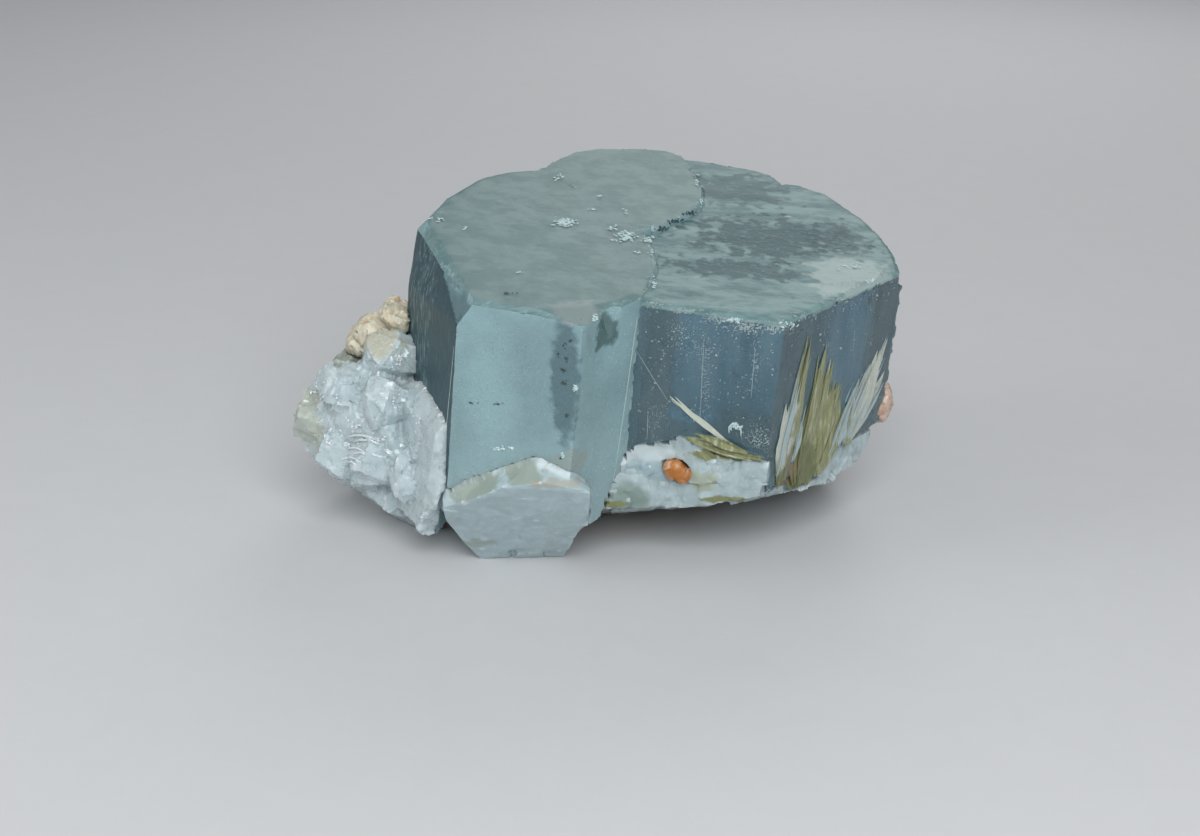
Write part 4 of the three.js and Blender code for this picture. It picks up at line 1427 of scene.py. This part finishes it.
class SPECIMEN_OT_mica(bpy.types.Operator):
    """Makes the fans of mica leaves, the streak, the needle and the silver strands"""

    bl_idname = "specimen.mica"
    bl_label = "Mica"

    def execute(self, context):
        settings = context.scene.specimen_mica
        material = mica_material(settings)
        thick = settings.leaf / MM
        for fan, (name, node, blades) in enumerate(MICA_FANS):
            shapes = Shapes(seed=31 + fan)
            chance = shapes.chance
            for s0, z0, s1, z1, width, twist in blades:
                for _ in range(settings.leaves):
                    across = chance.uniform(-0.42, 0.42) * width
                    out = LEAF_OUT - LEAF_SPREAD * chance.random() ** 2
                    start = on_right_face(s0 + across * 0.5, z0 + chance.uniform(0, 0.8), out)
                    reach = 1 - 0.28 * chance.random() * (1 + abs(across))
                    tip_s = s0 + (s1 - s0) * reach + across * 0.8
                    tip = on_right_face(tip_s, z0 + (z1 - z0) * reach, out + chance.uniform(-0.1, 0.02))
                    turn = FACE_TURN + math.radians(twist + chance.uniform(-LEAF_TWIST, LEAF_TWIST))
                    normal = CRYSTAL.to_3x3() @ Vector((math.sin(turn), -math.cos(turn), 0))
                    leaf(shapes, start, tip, width * chance.uniform(0.16, 0.8), thick, normal)
            settle(shapes.finish(name), material, [node])
        self.streak(material, thick)
        self.strands(thick)
        return {"FINISHED"}

    def strands(self, thick):
        """The pale silver strands beside and over the blades."""
        shapes = Shapes(seed=43)
        chance = shapes.chance
        normal = CRYSTAL.to_3x3() @ Vector((math.sin(FACE_TURN), -math.cos(FACE_TURN), 0))
        for strands, root_a, root_b, tip_a, tip_b in STRAND_FANS:
            for _ in range(strands):
                t = chance.random()
                u = min(1.0, max(0.0, t + chance.uniform(-0.15, 0.15)))
                root = [a + (b - a) * t for a, b in zip(root_a, root_b)]
                tip = [a + (b - a) * u for a, b in zip(tip_a, tip_b)]
                reach = chance.uniform(0.45, 1.0)
                end = [a + (b - a) * reach for a, b in zip(root, tip)]
                out = chance.uniform(0.0, 0.2)
                width = chance.uniform(0.1, 0.42)
                start, end = on_right_face(*root, out), on_right_face(*end, out)
                leaf(shapes, start, end, width, thick * 0.5, normal)
        silver = mark_material("silver_strands", (0.36, 0.46, 0.48), 0.25)
        settle(shapes.finish("mica_silver_strands"), silver)

    def streak(self, material, thick):
        """The flat streak along the top of the wedge, and the pale needle that points up from it."""
        shapes = Shapes(seed=41)
        chance = shapes.chance
        front = CRYSTAL.to_3x3() @ Vector((0, -1, 0))
        for _ in range(STREAK_LEAVES):
            x = chance.uniform(8.8, 10.5)
            depth = chance.uniform(-0.14, 0.02)
            start = in_specimen((x, depth, STREAK_HEIGHT + chance.uniform(-0.2, 0.25)))
            reach = chance.uniform(2, 5.2)
            depth = chance.uniform(-0.14, 0.02)
            height = STREAK_HEIGHT + STREAK_SLOPE * reach + chance.uniform(-0.25, 0.25)
            end = in_specimen((x - reach, depth, height))
            normal = (front + UP * chance.uniform(-0.7, 0.7)).normalized()
            leaf(shapes, start, end, chance.uniform(0.15, 0.4), thick, normal)
        for layer in range(VEIL_LAYERS):
            lift = -VEIL_LIFT - VEIL_STEP * layer
            start = in_specimen((9.0 + chance.uniform(-0.3, 0.3), lift, -11.0 + chance.uniform(-0.2, 0.2)))
            end = in_specimen((5.2 + chance.uniform(-0.5, 0.8), lift, -10.0 + chance.uniform(-0.4, 0.3)))
            leaf(shapes, start, end, chance.uniform(0.3, 0.6), thick * 0.5, front)
        settle(shapes.finish("mica_streak_leaves"), material, ["mica_streak"])
        needle = Shapes(seed=42)
        chance = needle.chance
        for _ in range(NEEDLE_LEAVES):
            x = 7.6 + chance.uniform(-0.3, 0.3)
            start = in_specimen((x, -0.04, -10.5 + chance.uniform(-0.2, 0.15)))
            end = in_specimen((2.7 + 0.7 * chance.random(), -0.02, -7.3 - 0.5 * chance.random()))
            leaf(needle, start, end, chance.uniform(0.15, 0.34), thick, front)
        pale = mark_material("pale_needle", (0.5, 0.55, 0.47), 0.25)
        settle(needle.finish("pale_needle"), pale)


class SPECIMEN_PT_panel(bpy.types.Panel):
    """Lists the specimen's settings and steps"""

    bl_idname = "SPECIMEN_PT_panel"
    bl_label = "Aquamarine specimen"
    bl_space_type = "VIEW_3D"
    bl_region_type = "UI"
    bl_category = "Specimen"

    def draw(self, context):
        for operator in OPERATORS:
            self.layout.operator(operator.bl_idname)
        for name, group in SETTINGS.items():
            box = self.layout.box()
            values = getattr(context.scene, name)
            for key in group.__annotations__:
                box.prop(values, key)


SETTINGS = {
    "specimen_stage": StageSettings,
    "specimen_crystal": CrystalSettings,
    "specimen_inclusions": InclusionSettings,
    "specimen_matrix": MatrixSettings,
    "specimen_mica": MicaSettings,
}
OPERATORS = (
    SPECIMEN_OT_stage,
    SPECIMEN_OT_crystal,
    SPECIMEN_OT_marks,
    SPECIMEN_OT_quartz,
    SPECIMEN_OT_block,
    SPECIMEN_OT_matrix,
    SPECIMEN_OT_grains,
    SPECIMEN_OT_mica,
)


def register():
    for group in SETTINGS.values():
        bpy.utils.register_class(group)
    for name, group in SETTINGS.items():
        setattr(bpy.types.Scene, name, PointerProperty(type=group))
    for operator in OPERATORS:
        bpy.utils.register_class(operator)
    bpy.utils.register_class(SPECIMEN_PT_panel)


def unregister():
    bpy.utils.unregister_class(SPECIMEN_PT_panel)
    for operator in reversed(OPERATORS):
        bpy.utils.unregister_class(operator)
    for name in SETTINGS:
        delattr(bpy.types.Scene, name)
    for group in reversed(SETTINGS.values()):
        bpy.utils.unregister_class(group)


def main():
    register()
    GROUPS["patch"] = patch_group()
    GROUPS["etching"] = etch_group()
    GROUPS["grain"] = grain_group()
    GROUPS["wear"] = wear_and_highlight_group()
    bpy.ops.specimen.stage()
    bpy.ops.specimen.crystal()
    bpy.ops.specimen.marks()
    bpy.ops.specimen.quartz()
    bpy.ops.specimen.block()
    bpy.ops.specimen.matrix()
    bpy.ops.specimen.grains()
    bpy.ops.specimen.mica()


if __name__ == "__main__":
    main()
